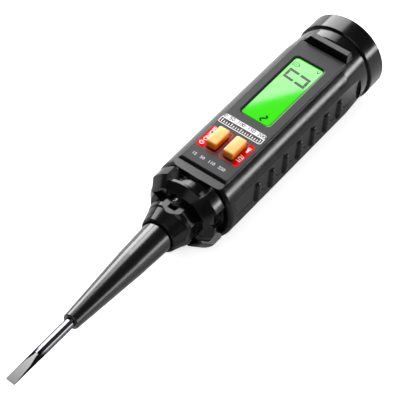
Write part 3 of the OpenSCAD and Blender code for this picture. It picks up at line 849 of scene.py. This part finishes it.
@dataclass
class Housing(Assembly):
    """Shells, battery cover and screws, and the ridge that closes the panel's rear.

    Attributes:
        ridge_x: X of the ridge's front and rear at its foot.
        ridge_top_x: X of its front and rear at its top.
        ridge_y: Y of its right and left ends at its foot.
        ridge_top_y: Y of its right and left ends at its top.
        ridge_z: Z of its foot and its top.
        ridge_edge: Radius of its edges.
    """

    solids: dict[str, Finish] = field(default_factory=lambda: {
        "front_shell": SHELL, "rear_shell": SHELL, "battery_cover": COVER, "battery_cover_screw": SCREW,
        "housing_screws": SCREW})
    ridge_x: Pair = (75.1, 79.8)
    ridge_top_x: Pair = (75.8, 78.3)
    ridge_y: Pair = (-9.3, 9.3)
    ridge_top_y: Pair = (-9.0, 6.6)
    ridge_z: Pair = (24.6, 28.65)
    ridge_edge: float = 0.22

    def add_pieces(self) -> None:
        """Builds the ridge across the barrel behind the panel, from a box whose top is drawn in."""
        bm = bmesh.new()
        low, high = zip(self.ridge_x, self.ridge_y, self.ridge_z)
        middle = [(a + b) / 2 for a, b in zip(low, high)]
        for vert in box(bm, low, high):
            if vert.co.z > middle[2]:
                vert.co.x = self.ridge_top_x[vert.co.x > middle[0]]
                vert.co.y = self.ridge_top_y[vert.co.y > middle[1]]
        soften(bm, list(bm.edges), self.ridge_edge, segments=3)
        self.keep(bm, "panel_end_ridge", SHELL, smooth_angle=5.0)


@dataclass
class Probe(Assembly):
    """Chromed blade and its insulating sleeve."""

    solids: dict[str, Finish] = field(default_factory=lambda: {"blade": BLADE, "insulating_sleeve": SLEEVE})


@dataclass
class PanelFilm(Assembly):
    """Film on the raised panel, with its window rim, key holes and screen printing.

    Attributes:
        size: Length and width of the film.
        middle: X and Y of its middle.
        corner: Corner radius of the film.
        film_z: Z of its underside and of its face.
        edge: Rounding of the film's edges.
        window: X of the window's middle.
        window_size: Length and width of the window's opening.
        window_corner: Corner radius of the opening.
        rim_size: Length and width of the rim's lower edge.
        rim_corner: Corner radius there.
        rim_depth: How far the rim reaches down.
        trim: Width and depth of the sloping edge round the film.
        wall: Thickness of the rim and of the sloping edge.
        sunk: How far their upper edges lie under the film's face.
        keys: X of the keys' middle.
        key_size: Length and width of a key's hole.
        key_corner: Corner radius of a key's hole.
        ink: Thickness of a printed layer.
        stroke: How much the characters' strokes are thickened.
        patches: Name, length and width, middle, corner radius, line width and ink of each patch, a solid one having
            a line width of 0.
        texts: Name, characters, height, middle, reading angle from +X in degrees, spacing, layers under it, and ink
            of each row of plain numbers and each plain switch word.
        tick: Root of the first scale tick in X and Y.
        tick_step: Spacing of the ticks along -Y.
        tick_count: Number of ticks.
        tick_size: Length and width of a short tick.
        tick_long: Every how many ticks one is longer, and by what factor.
        power: X and Y of the power sign's middle.
        power_ring: Middle radius and line width of its ring.
        power_gap: Opening of its ring in degrees, toward the cap.
        power_bar: Start and end of its bar, as shares of the radius.
        torch: X and Y of the torch sign's middle.
        torch_length: Length of the torch sign.
    """

    slot: str = "overlay"
    size: Pair = (69.2, 18.0)
    middle: Pair = (40.0, 0.0)
    corner: float = 0.5
    film_z: Pair = (26.0, 26.2)
    edge: float = 0.07
    window: float = 50.4
    window_size: Pair = (34.7, 12.7)
    window_corner: float = 1.9
    rim_size: Pair = (33.9, 11.8)
    rim_corner: float = 1.5
    rim_depth: float = 0.18
    trim: float = 0.34
    wall: float = 0.015
    sunk: float = 0.01
    keys: float = 18.1
    key_size: Pair = (8.5, 4.3)
    key_corner: float = 0.75
    ink: float = 0.02
    stroke: float = 0.03
    patches: tuple = (
        ("print_power_field", (10.4, 3.3), (17.5, 7.05), 0.9, 0.0, RED_INK),
        ("print_mode_field", (11.2, 2.3), (17.85, -6.8), 0.9, 0.0, RED_INK),
        ("print_power_outline", (11.0, 6.3), (17.9, 3.85), 1.0, 0.28, RED_INK),
        ("print_mode_outline", (11.0, 6.3), (17.9, -3.45), 1.0, 0.28, RED_INK),
        ("print_plate_outline", (4.9, 17.2), (27.6, 0.35), 0.8, 0.25, WHITE_INK),
        ("print_plate_face", (2.35, 17.2), (28.85, 0.35), 0.7, 0.0, WHITE_INK))
    texts: tuple = (
        ("print_scale_numbers", "0  50  100  150  200", 2.15, (28.8, 0.35), -90, 0.95, 1, DARK_INK),
        ("print_range_numbers", "12   50   110   220", 1.75, (8.6, 0.5), -90, 1.0, 0, PALE_INK),
        ("print_power_word", "ON/OFF", 2.1, (18.9, 7.1), 0, 0.9, 1, WHITE_INK),
        ("print_mode_word", "1/2/", 2.3, (16.0, -6.9), 0, 0.95, 1, WHITE_INK))
    tick: Pair = (25.75, 7.9)
    tick_step: float = 0.95
    tick_count: int = 17
    tick_size: Pair = (0.95, 0.26)
    tick_long: tuple[int, float] = (4, 1.5)
    power: Pair = (14.1, 7.3)
    power_ring: Pair = (0.75, 0.26)
    power_gap: float = 64.0
    power_bar: Pair = (0.1, 1.35)
    torch: Pair = (20.9, -6.8)
    torch_length: float = 2.7

    def film(self) -> None:
        """Builds the film with its three openings and a broken edge round each."""
        bm = bmesh.new()
        bottom, top = self.film_z
        outline(bm, self.size, self.middle, self.corner, bottom)
        outline(bm, self.window_size, (self.window, 0.0), self.window_corner, bottom, segments=8)
        for key in Key:
            outline(bm, self.key_size, (self.keys, key.y), self.key_corner, bottom)
        raise_faces(bm, fill_between(bm), top - bottom)
        soften(bm, edges_at(bm, top, sharper_than=60), self.edge, segments=2)
        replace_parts(self.keep(bm, "panel_film", FILM, smooth_angle=10.0), "panel_overlay")

    def slope(self, name: str, sizes: tuple[Pair, Pair], centre: Pair, corners: Pair, depth: float) -> None:
        """Builds a thin sloping strip down from the film's face.

        Args:
            name: Name of the piece.
            sizes: Length and width of its upper and of its lower edge.
            centre: X and Y of its middle.
            corners: Corner radii of the two edges.
            depth: How far the lower edge lies below the face.
        """
        bm = bmesh.new()
        collar(bm, sizes, centre, corners, (self.film_z[1] - self.sunk, self.film_z[1] - depth))
        bmesh.ops.recalc_face_normals(bm, faces=bm.faces)
        bmesh.ops.solidify(bm, geom=list(bm.faces), thickness=self.wall)
        self.keep(bm, name, RIM)

    def patch(self, name: str, size: Pair, centre: Pair, radius: float, width: float, finish: Finish) -> None:
        """Prints one patch with round corners, or its outline.

        Args:
            name: Name of the piece.
            size: Outer length and width.
            centre: X and Y of its middle.
            radius: Outer corner radius.
            width: Width of the outline, or 0 for a solid patch.
            finish: Ink.
        """
        bm = bmesh.new()
        faces = outline(bm, size, centre, radius, self.film_z[1])
        if width:
            outline(bm, (size[0] - 2 * width, size[1] - 2 * width), centre, radius - width, self.film_z[1])
            faces = fill_between(bm)
        raise_faces(bm, faces, self.ink)
        self.keep(bm, name, finish)

    def text(self, name: str, letters: str, size: float, centre: Pair, turn: float, spread: float, layer: int,
             finish: Finish) -> None:
        """Prints plain numbers or a plain switch word.

        Args:
            name: Name of the piece.
            letters: Characters to print.
            size: Their height.
            centre: X and Y of their middle.
            turn: Angle in degrees of the reading direction from +X.
            spread: Spacing of the characters.
            layer: How many layers lie under it.
            finish: Ink.
        """
        curve = bpy.data.curves.new(name, "FONT")
        curve.body, curve.size, curve.space_character = letters, size, spread
        curve.align_x, curve.align_y = "CENTER", "CENTER"
        curve.resolution_u, curve.extrude, curve.offset = 3, self.ink / 2, self.stroke
        holder = add_object(name, curve)
        bpy.context.view_layer.update()
        mesh = bpy.data.meshes.new_from_object(holder.evaluated_get(bpy.context.evaluated_depsgraph_get()))
        bpy.data.objects.remove(holder)
        bpy.data.curves.remove(curve)
        bm = bmesh.new()
        bm.from_mesh(mesh)
        bpy.data.meshes.remove(mesh)
        place = Matrix.Translation((*centre, self.film_z[1] + (layer + 0.5) * self.ink))
        bmesh.ops.transform(bm, matrix=place @ Matrix.Rotation(math.radians(turn), 4, "Z"), verts=bm.verts)
        self.keep(bm, name, finish)

    def ticks(self) -> None:
        """Prints the row of scale ticks across the panel."""
        bm = bmesh.new()
        (x, first), top, (length, width), (every, factor) = self.tick, self.film_z[1], self.tick_size, self.tick_long
        for i in range(self.tick_count):
            reach = length * (factor if i % every == 0 else 1.0)
            y = first - i * self.tick_step
            box(bm, (x, y - width / 2, top), (x + reach, y + width / 2, top + self.ink))
        self.keep(bm, "print_scale_ticks", WHITE_INK)

    def power_sign(self) -> None:
        """Prints an open ring with a bar in its gap."""
        bm = bmesh.new()
        (radius, width), gap, (start, end) = self.power_ring, math.radians(self.power_gap), self.power_bar
        section = bmesh.ops.create_grid(bm, x_segments=1, y_segments=1, size=0.5)["verts"]
        bmesh.ops.scale(bm, vec=(width, self.ink, 1.0), verts=section)
        bmesh.ops.rotate(bm, matrix=Matrix.Rotation(math.radians(90), 3, "X"), verts=section)
        bmesh.ops.translate(bm, vec=(radius, 0.0, self.ink / 2), verts=section)
        bmesh.ops.rotate(bm, matrix=Matrix.Rotation(gap / 2, 3, "Z"), verts=section)
        bmesh.ops.spin(bm, geom=list(bm.faces), cent=(0, 0, 0), axis=(0, 0, 1), angle=2 * math.pi - gap, steps=24,
                       use_duplicate=False, use_merge=False)
        box(bm, (start * radius, -width / 2, 0.0), (end * radius, width / 2, self.ink))
        bmesh.ops.translate(bm, vec=(*self.power, self.film_z[1] + self.ink), verts=bm.verts)
        self.keep(bm, "print_power_sign", WHITE_INK)

    def torch_sign(self) -> None:
        """Prints a small torch with three rays that points toward the cap."""
        bm = bmesh.new()
        shares = (0.42, 0.24, 0.08, 0.2, 0.13, 0.035)
        grip, head, space, ray, half, thin = (share * self.torch_length for share in shares)
        root, flare, fan = -self.torch_length / 2, 1.9, 0.42
        neck, mouth = root + grip, root + grip + head
        box(bm, (root, -half, 0.0), (neck, half, self.ink))
        for vert in box(bm, (neck, -half, 0.0), (mouth, half, self.ink)):
            if vert.co.x > neck + head / 2:
                vert.co.y *= flare
        for side in (-1, 0, 1):
            bar = box(bm, (mouth + space, -thin, 0.0), (mouth + space + ray, thin, self.ink))
            bmesh.ops.rotate(bm, cent=(neck, 0, 0), matrix=Matrix.Rotation(side * fan, 3, "Z"), verts=bar)
        bmesh.ops.translate(bm, vec=(*self.torch, self.film_z[1] + self.ink), verts=bm.verts)
        self.keep(bm, "print_torch_sign", WHITE_INK)

    def add_pieces(self) -> None:
        """Builds the film, its edges and its printing."""
        self.film()
        self.slope("window_rim", (self.window_size, self.rim_size), (self.window, 0.0),
                   (self.window_corner, self.rim_corner), self.rim_depth)
        foot = (self.size[0] + 2 * self.trim, self.size[1] + 2 * self.trim)
        self.slope("film_edge_trim", (self.size, foot), self.middle, (self.corner, self.corner + self.trim), self.trim)
        for patch in self.patches:
            self.patch(*patch)
        for row in self.texts:
            self.text(*row)
        self.ticks()
        self.power_sign()
        self.torch_sign()


@dataclass
class Keys(Assembly):
    """Two moulded keys with soft edges that stand for the plain solids.

    Attributes:
        x: X of the keys' middle.
        size: Length and width of a key.
        corner: Radius of the upright corners.
        crown: Radius of the top edge.
        key_z: Z of a key's foot under the panel and of its face.
        flange: Length, width and thickness of the flange that holds it in.
        stem: Side of the square stem.
        stem_end: Z of its end.
    """

    slot: str = "button"
    x: float = 18.1
    size: Pair = (8.2, 4.0)
    corner: float = 0.6
    crown: float = 0.45
    key_z: Pair = (22.6, 28.7)
    flange: Triple = (9.6, 5.4, 0.8)
    stem: float = 2.4
    stem_end: float = 21.45

    def add_pieces(self) -> None:
        """Builds each key: its body with a round crown, its flange and its stem."""
        root, top = self.key_z
        length, width, thickness = self.flange
        for key in Key:
            bm = bmesh.new()
            raise_faces(bm, outline(bm, self.size, (self.x, key.y), self.corner, root, segments=5), top - root)
            bmesh.ops.recalc_face_normals(bm, faces=bm.faces)
            soften(bm, edges_at(bm, top), self.crown, segments=4)
            for long, wide, low, high in ((length, width, root, root + thickness),
                                          (self.stem, self.stem, self.stem_end, root)):
                box(bm, (self.x - long / 2, key.y - wide / 2, low), (self.x + long / 2, key.y + wide / 2, high))
            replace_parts(self.keep(bm, key.node + "_cap", KEY, key.node), key.node)


@dataclass
class Window(Assembly):
    """Bonded pane over the display, and a sheet of painted shade on the walls round it.

    Attributes:
        middle: X and Y of its middle.
        pane: Length and width of the pane in the opening.
        pane_corner: Its corner radius.
        pane_z: Z of its underside and of its face.
        paint: Width of the painted shade round it.
        paint_corner: Corner radius of the painted shade's outer edge.
        paint_z: Z of the painted shade's lower edge.
        paint_height: Height of the painted shade above it.
    """

    slot: str = "window"
    middle: Pair = (50.4, 0.0)
    pane: Pair = (33.5, 11.4)
    pane_corner: float = 1.35
    pane_z: Pair = (22.4, 25.6)
    paint: float = 0.14
    paint_corner: float = 1.48
    paint_z: float = 25.61
    paint_height: float = 0.4

    def add_pieces(self) -> None:
        """Builds the pane, whose face alone shows the lit display, and the sheet of painted shade that keeps the walls
        from glowing in the display's light.
        """
        bm = bmesh.new()
        low, high = self.pane_z
        raise_faces(bm, outline(bm, self.pane, self.middle, self.pane_corner, low, segments=8), high - low)
        piece = self.keep(bm, "bonded_window", DISPLAY)
        piece.data.materials.append(FRAME.build())
        for face in piece.data.polygons:
            face.material_index = 0 if face.center.z > (high - TINY) * MM else 1
        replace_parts(piece, "display_window")
        # Painted shade: a near-black sheet on the walls round the window.
        bm = bmesh.new()
        wide = (self.pane[0] + 2 * self.paint, self.pane[1] + 2 * self.paint)
        corners = (self.paint_corner, self.pane_corner)
        faces = collar(bm, (wide, self.pane), self.middle, corners, (self.paint_z, self.paint_z))
        raise_faces(bm, faces, self.paint_height)
        self.keep(bm, "window_wall_painted_shade", WALL_SHADE)


@dataclass
class Display(Assembly):
    """Display glass and the marks on the pane over it.

    Attributes:
        painted_highlight_z: Z on which the marks lie.
        mark: Thickness of a mark.
        digit_x: X of the digit's front and rear bars.
        digit_y: Y of its left end, the right end being its mirror.
        digit_gap: Half the gap in the middle of those bars, and how far the side bars lie inside the ends.
        digit_over: How far the front and rear bars run past the ends.
        digit_inset: How far the side bars stay clear of those bars' middles.
        digit_bars: Width of the front and rear bars and of the side bars.
        slant: How far the digit leans along X over its height.
        battery: Ends of each line of the battery mark.
        volts: Ends of both lines of the unit mark.
        thin: Width of the battery's and of the unit's lines.
        wave: X of the wave mark's front end and Y of its middle.
        wave_size: Length of the wave mark and height of its swing.
        wave_width: Width of its line.
        wave_steps: Number of straight pieces in it.
    """

    solids: dict[str, Finish] = field(default_factory=lambda: {"lcd_glass": CELL_GLASS})
    slot: str = "lcd"
    painted_highlight_z: float = 25.6
    mark: float = 0.02
    digit_x: Pair = (56.8, 60.7)
    digit_y: float = 4.4
    digit_gap: float = 0.35
    digit_over: float = 0.15
    digit_inset: float = 0.7
    digit_bars: Pair = (1.15, 1.035)
    slant: float = 0.9
    battery: tuple = (
        ((63.2, 2.9), (63.2, 5.0)), ((65.0, 2.9), (65.0, 5.0)), ((63.2, 2.9), (65.0, 2.9)),
        ((63.2, 5.0), (65.0, 5.0)), ((63.7, 2.6), (64.5, 2.6)), ((63.6, 4.3), (64.6, 4.3)),
        ((63.6, 3.7), (64.6, 3.7)))
    volts: tuple = (((66.3, -3.6), (64.9, -4.2)), ((66.3, -4.8), (64.9, -4.2)))
    thin: Pair = (0.24, 0.3)
    wave: Pair = (34.8, -2.0)
    wave_size: Pair = (3.1, 0.85)
    wave_width: float = 0.62
    wave_steps: int = 14

    def lines(self, name: str, finish: Finish, ends: list | tuple, widths: list | tuple) -> None:
        """Builds one mark from straight bars.

        Args:
            name: Name of the piece.
            finish: Its liquid crystal.
            ends: X and Y of both ends of each bar.
            widths: Width of each bar.
        """
        bm = bmesh.new()
        for ((x, y), end), width in zip(ends, widths):
            run = Vector((end[0] - x, end[1] - y, 0.0))
            verts = box(bm, (0.0, -width / 2, 0.0), (run.length, width / 2, self.mark))
            place = Matrix.Translation((x, y, self.painted_highlight_z)) @ Matrix.Rotation(math.atan2(run.y, run.x), 4, "Z")
            bmesh.ops.transform(bm, matrix=place, verts=verts)
        self.keep(bm, name, finish)

    def digit(self) -> None:
        """Builds the six bars of a nought that lies across the display and leans a little."""
        front, rear = self.digit_x
        gap, end, side = self.digit_gap, self.digit_y + self.digit_over, self.digit_y - self.digit_gap
        bars = [((x, a), (x, b)) for x in self.digit_x for a, b in ((gap, end), (-end, -gap))]
        bars += [((front + self.digit_inset, y), (rear - self.digit_inset, y)) for y in (-side, side)]
        lean = self.slant / (2 * self.digit_y)
        leaning = [tuple((x + lean * y, y) for x, y in bar) for bar in bars]
        wide, narrow = self.digit_bars
        self.lines("display_digit", SEGMENT, leaning, [wide] * 4 + [narrow] * 2)

    def add_pieces(self) -> None:
        """Builds the digit, the battery mark, the V of the volts and the sign for alternating current."""
        self.digit()
        thin, thick = self.thin
        self.lines("display_battery_mark", SEGMENT, self.battery, [thin] * len(self.battery))
        self.lines("display_unit_mark", SEGMENT, self.volts, [thick] * len(self.volts))
        (x, y), (length, swing), steps = self.wave, self.wave_size, self.wave_steps
        points = [(x + length * i / steps, y + swing * math.sin(2 * math.pi * i / steps)) for i in range(steps + 1)]
        self.lines("display_wave_mark", SYMBOL, list(zip(points, points[1:])), [self.wave_width] * steps)


@dataclass
class Works(Assembly):
    """Everything inside the handle, and the torch lamp."""

    solids: dict[str, Finish] = field(default_factory=lambda: {
        "blade_contact_spring": WIRE, "blade_contact_plate": BRASS, "circuit_board": BOARD, "controller_chip": CHIP,
        "limiting_resistor": RESISTOR, "board_capacitors": CAPACITOR, "buzzer": BUZZER, "power_switch_base": SWITCH,
        "mode_switch_base": SWITCH, "power_switch_plunger": PLUNGER, "mode_switch_plunger": PLUNGER,
        "lcd_backlight": GUIDE, "backlight_led": LIGHT_CHIP, "lcd_frame": FRAME, "lcd_contact_strip": STRIP,
        "torch_led": LAMP, "torch_led_leads": TIN, "cell_left": CELL, "cell_right": CELL, "cell_spring_left": WIRE,
        "cell_spring_right": WIRE, "battery_bridge": BRASS, "battery_terminal_left": BRASS,
        "battery_terminal_right": BRASS, "battery_tray": TRAY})


# Studio


@dataclass
class Studio:
    """Pale floor, soft lamps, a dim even room and the camera of the photograph.

    Attributes:
        azimuth: Direction of the camera round the object, in degrees.
        elevation: Height of the camera's direction, in degrees.
        roll: Turn of the picture, in degrees.
        distance: From the camera to the point that it was fitted round.
        pivot: That point.
        centre: Picture place of that point, in pixels.
        pixel: Size of one pixel at that point.
        sensor: Sensor width.
        frame_px: Side of the picture in pixels.
        clip: Nearest and furthest distance that the camera sees, in metres.
        mirror_z: Z of the window's face.
        glare_edge: X and Y of two points where the key softbox's edge shows in the window.
        box_z: Z of the key softbox.
        box_size: Length and width of the key softbox.
        key_level: Radiance of the key softbox, where 1 is white.
        room_level: Radiance of the room.
        floor_glow: Share of white that the floor adds for the camera alone.
        floor_reach: Half the side of the floor, in metres.
        floor_drop: How far the floor lies under the tool, in metres.
        aim: Point that the other softboxes are set round, in metres.
        lamps: Name, direction, distance, length and width in metres, radiance and slide along X of the others.
    """

    azimuth: float = -57.835
    elevation: float = 48.859
    roll: float = 5.527
    distance: float = 685.03
    pivot: Triple = (6.144, 0.0, 13.5)
    centre: Pair = (202.76, 192.085)
    pixel: float = 0.328814
    sensor: float = 36.0
    frame_px: int = 400
    clip: Pair = (0.01, 20.0)
    mirror_z: float = 25.6
    glare_edge: tuple[Pair, Pair] = ((38.8, 5.28), (57.2, -5.67))
    box_z: float = 500.0
    box_size: Pair = (360.0, 300.0)
    key_level: float = 8.5
    room_level: float = 0.1
    floor_glow: float = 0.72
    floor_reach: float = 2.5
    floor_drop: float = 0.0002
    aim: Triple = (0.02, 0.0, 0.02)
    lamps: tuple = (
        ("fill_softbox", (-0.45, -0.25, 0.86), 0.9, (0.7, 0.7), 1.6, 0.0),
        ("front_softbox", (0.27, 0.270, 0.48), 0.613, (0.15, 0.24), 9.0, 0.0),
        ("right_strip", (0.557, -0.803, 0.215), 0.75, (0.40, 0.11), 19.0, 0.155),
        ("right_low_strip", (0.557, -0.815, 0.190), 0.78, (0.30, 0.24), 3.5, -0.2),
        ("left_strip", (0.557, 0.745, 0.365), 0.75, (0.9, 0.4), 9.0, 0.0))

    def axes(self) -> tuple[Vector, Vector, Vector]:
        """Works out how the camera is turned.

        Returns:
            Its right, up and back directions.
        """
        az, el, roll = (math.radians(v) for v in (self.azimuth, self.elevation, self.roll))
        back = Vector((math.sin(az) * math.cos(el), -math.cos(az) * math.cos(el), math.sin(el)))
        side = Vector((math.cos(az), math.sin(az), 0.0))
        rise = back.cross(side)
        return math.cos(roll) * side + math.sin(roll) * rise, math.cos(roll) * rise - math.sin(roll) * side, back

    def eye(self) -> Vector:
        """Works out where the camera stands.

        Returns:
            Its place in mm.
        """
        right, up, back = self.axes()
        across, down = (place - self.frame_px / 2 for place in self.centre)
        return Vector(self.pivot) + (down * up - across * right) * self.pixel + back * self.distance

    def camera(self) -> None:
        """Places the camera where the photograph was taken from."""
        data = bpy.data.cameras.new("photo_camera")
        data.sensor_width = self.sensor
        data.lens = self.sensor * self.distance / (self.frame_px * self.pixel)
        data.clip_start, data.clip_end = self.clip
        rig = add_object("photo_camera", data)
        place = Matrix(self.axes()).transposed().to_4x4()
        place.translation = self.eye() * MM
        rig.matrix_world = place
        bpy.context.scene.camera = rig

    def floor(self) -> None:
        """Lays a pale paper floor that looks white to the camera and keeps a soft shadow."""
        bm = bmesh.new()
        bmesh.ops.create_grid(bm, x_segments=1, y_segments=1, size=self.floor_reach)
        bmesh.ops.translate(bm, vec=(0.0, 0.0, -self.floor_drop), verts=bm.verts)
        floor = mesh_object(bm, "studio_floor")
        material = bpy.data.materials.new("pale_paper_floor")
        nodes = Recipe(material)
        seen = nodes.add("LightPath").outputs["Is Camera Ray"]
        glow = nodes.add("Math", (seen, self.floor_glow), operation="MULTIPLY").outputs[0]
        paper = nodes.add("BsdfPrincipled", {
            "Base Color": srgb("#E4E4E4"), "Roughness": 0.9, "Specular IOR Level": 0.0, "Emission Color": WHITE,
            "Emission Strength": glow})
        nodes.add("OutputMaterial", {"Surface": paper.outputs[0]})
        floor.data.materials.append(material)

    def softbox(self, name: str, middle: Vector, along: Vector, back: Vector, size: Pair, level: float) -> None:
        """Hangs one area lamp.

        Args:
            name: Name of the lamp.
            middle: Its place in metres.
            along: Direction of its length.
            back: Direction from the tool to the lamp.
            size: Length and width in metres.
            level: Radiance, where 1 is white.
        """
        data = bpy.data.lights.new(name, "AREA")
        data.shape = "RECTANGLE"
        data.size, data.size_y = size
        data.energy = math.pi * level * size[0] * size[1]
        side = (along - back * back.dot(along)).normalized()
        place = Matrix((side, back.cross(side), back)).transposed().to_4x4()
        place.translation = middle
        lamp = add_object(name, data)
        lamp.matrix_world = place
        lamp.visible_camera = False

    def glare_box(self) -> None:
        """Hangs the key softbox so that its edge, seen in the window, runs slantwise over the display."""
        eye = self.eye()
        rise = (self.box_z - self.mirror_z) / (eye.z - self.mirror_z)
        ends = [Vector((x + (x - eye.x) * rise, y + (y - eye.y) * rise, self.box_z)) for x, y in self.glare_edge]
        along = (ends[1] - ends[0]).normalized()
        length, width = self.box_size
        middle = (ends[0] + ends[1]) / 2 + Vector((-along.y, along.x, 0.0)) * (width / 2)
        self.softbox("key_softbox", middle * MM, along, Vector((0.0, 0.0, 1.0)), (length * MM, width * MM),
                     self.key_level)

    def room(self) -> None:
        """Lights the room evenly at a dim level and shows it white to the camera."""
        world = bpy.data.worlds.new("studio_room")
        bpy.context.scene.world = world
        nodes = Recipe(world)
        seen = nodes.add("LightPath").outputs["Is Camera Ray"]
        level = nodes.add("Math", (seen, self.room_level), operation="MAXIMUM").outputs[0]
        sky = nodes.add("Background", {"Color": WHITE, "Strength": level})
        nodes.add("OutputWorld", {"Surface": sky.outputs[0]})

    def build(self) -> None:
        """Sets up camera, floor, room and lamps."""
        self.camera()
        self.floor()
        self.room()
        self.glare_box()
        for name, direction, distance, size, level, slide in self.lamps:
            back = Vector(direction).normalized()
            middle = Vector(self.aim) + back * distance + Vector((slide, 0.0, 0.0))
            self.softbox(name, middle, Vector((1.0, 0.0, 0.0)), back, size, level)
        bpy.context.scene.view_settings.view_transform = "Standard"


def main() -> None:
    """Builds the studio and the dressed tool."""
    logging.basicConfig(level=logging.INFO, format="%(name)s %(message)s")
    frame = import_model()
    Studio().build()
    for part in (Housing(), Probe(), Window(), Display(), PanelFilm(), Keys(), Works()):
        for name in part.build(frame["nodes"]):
            log.info("%s: %s", type(part).__name__, name)


if __name__ == "__main__":
    main()
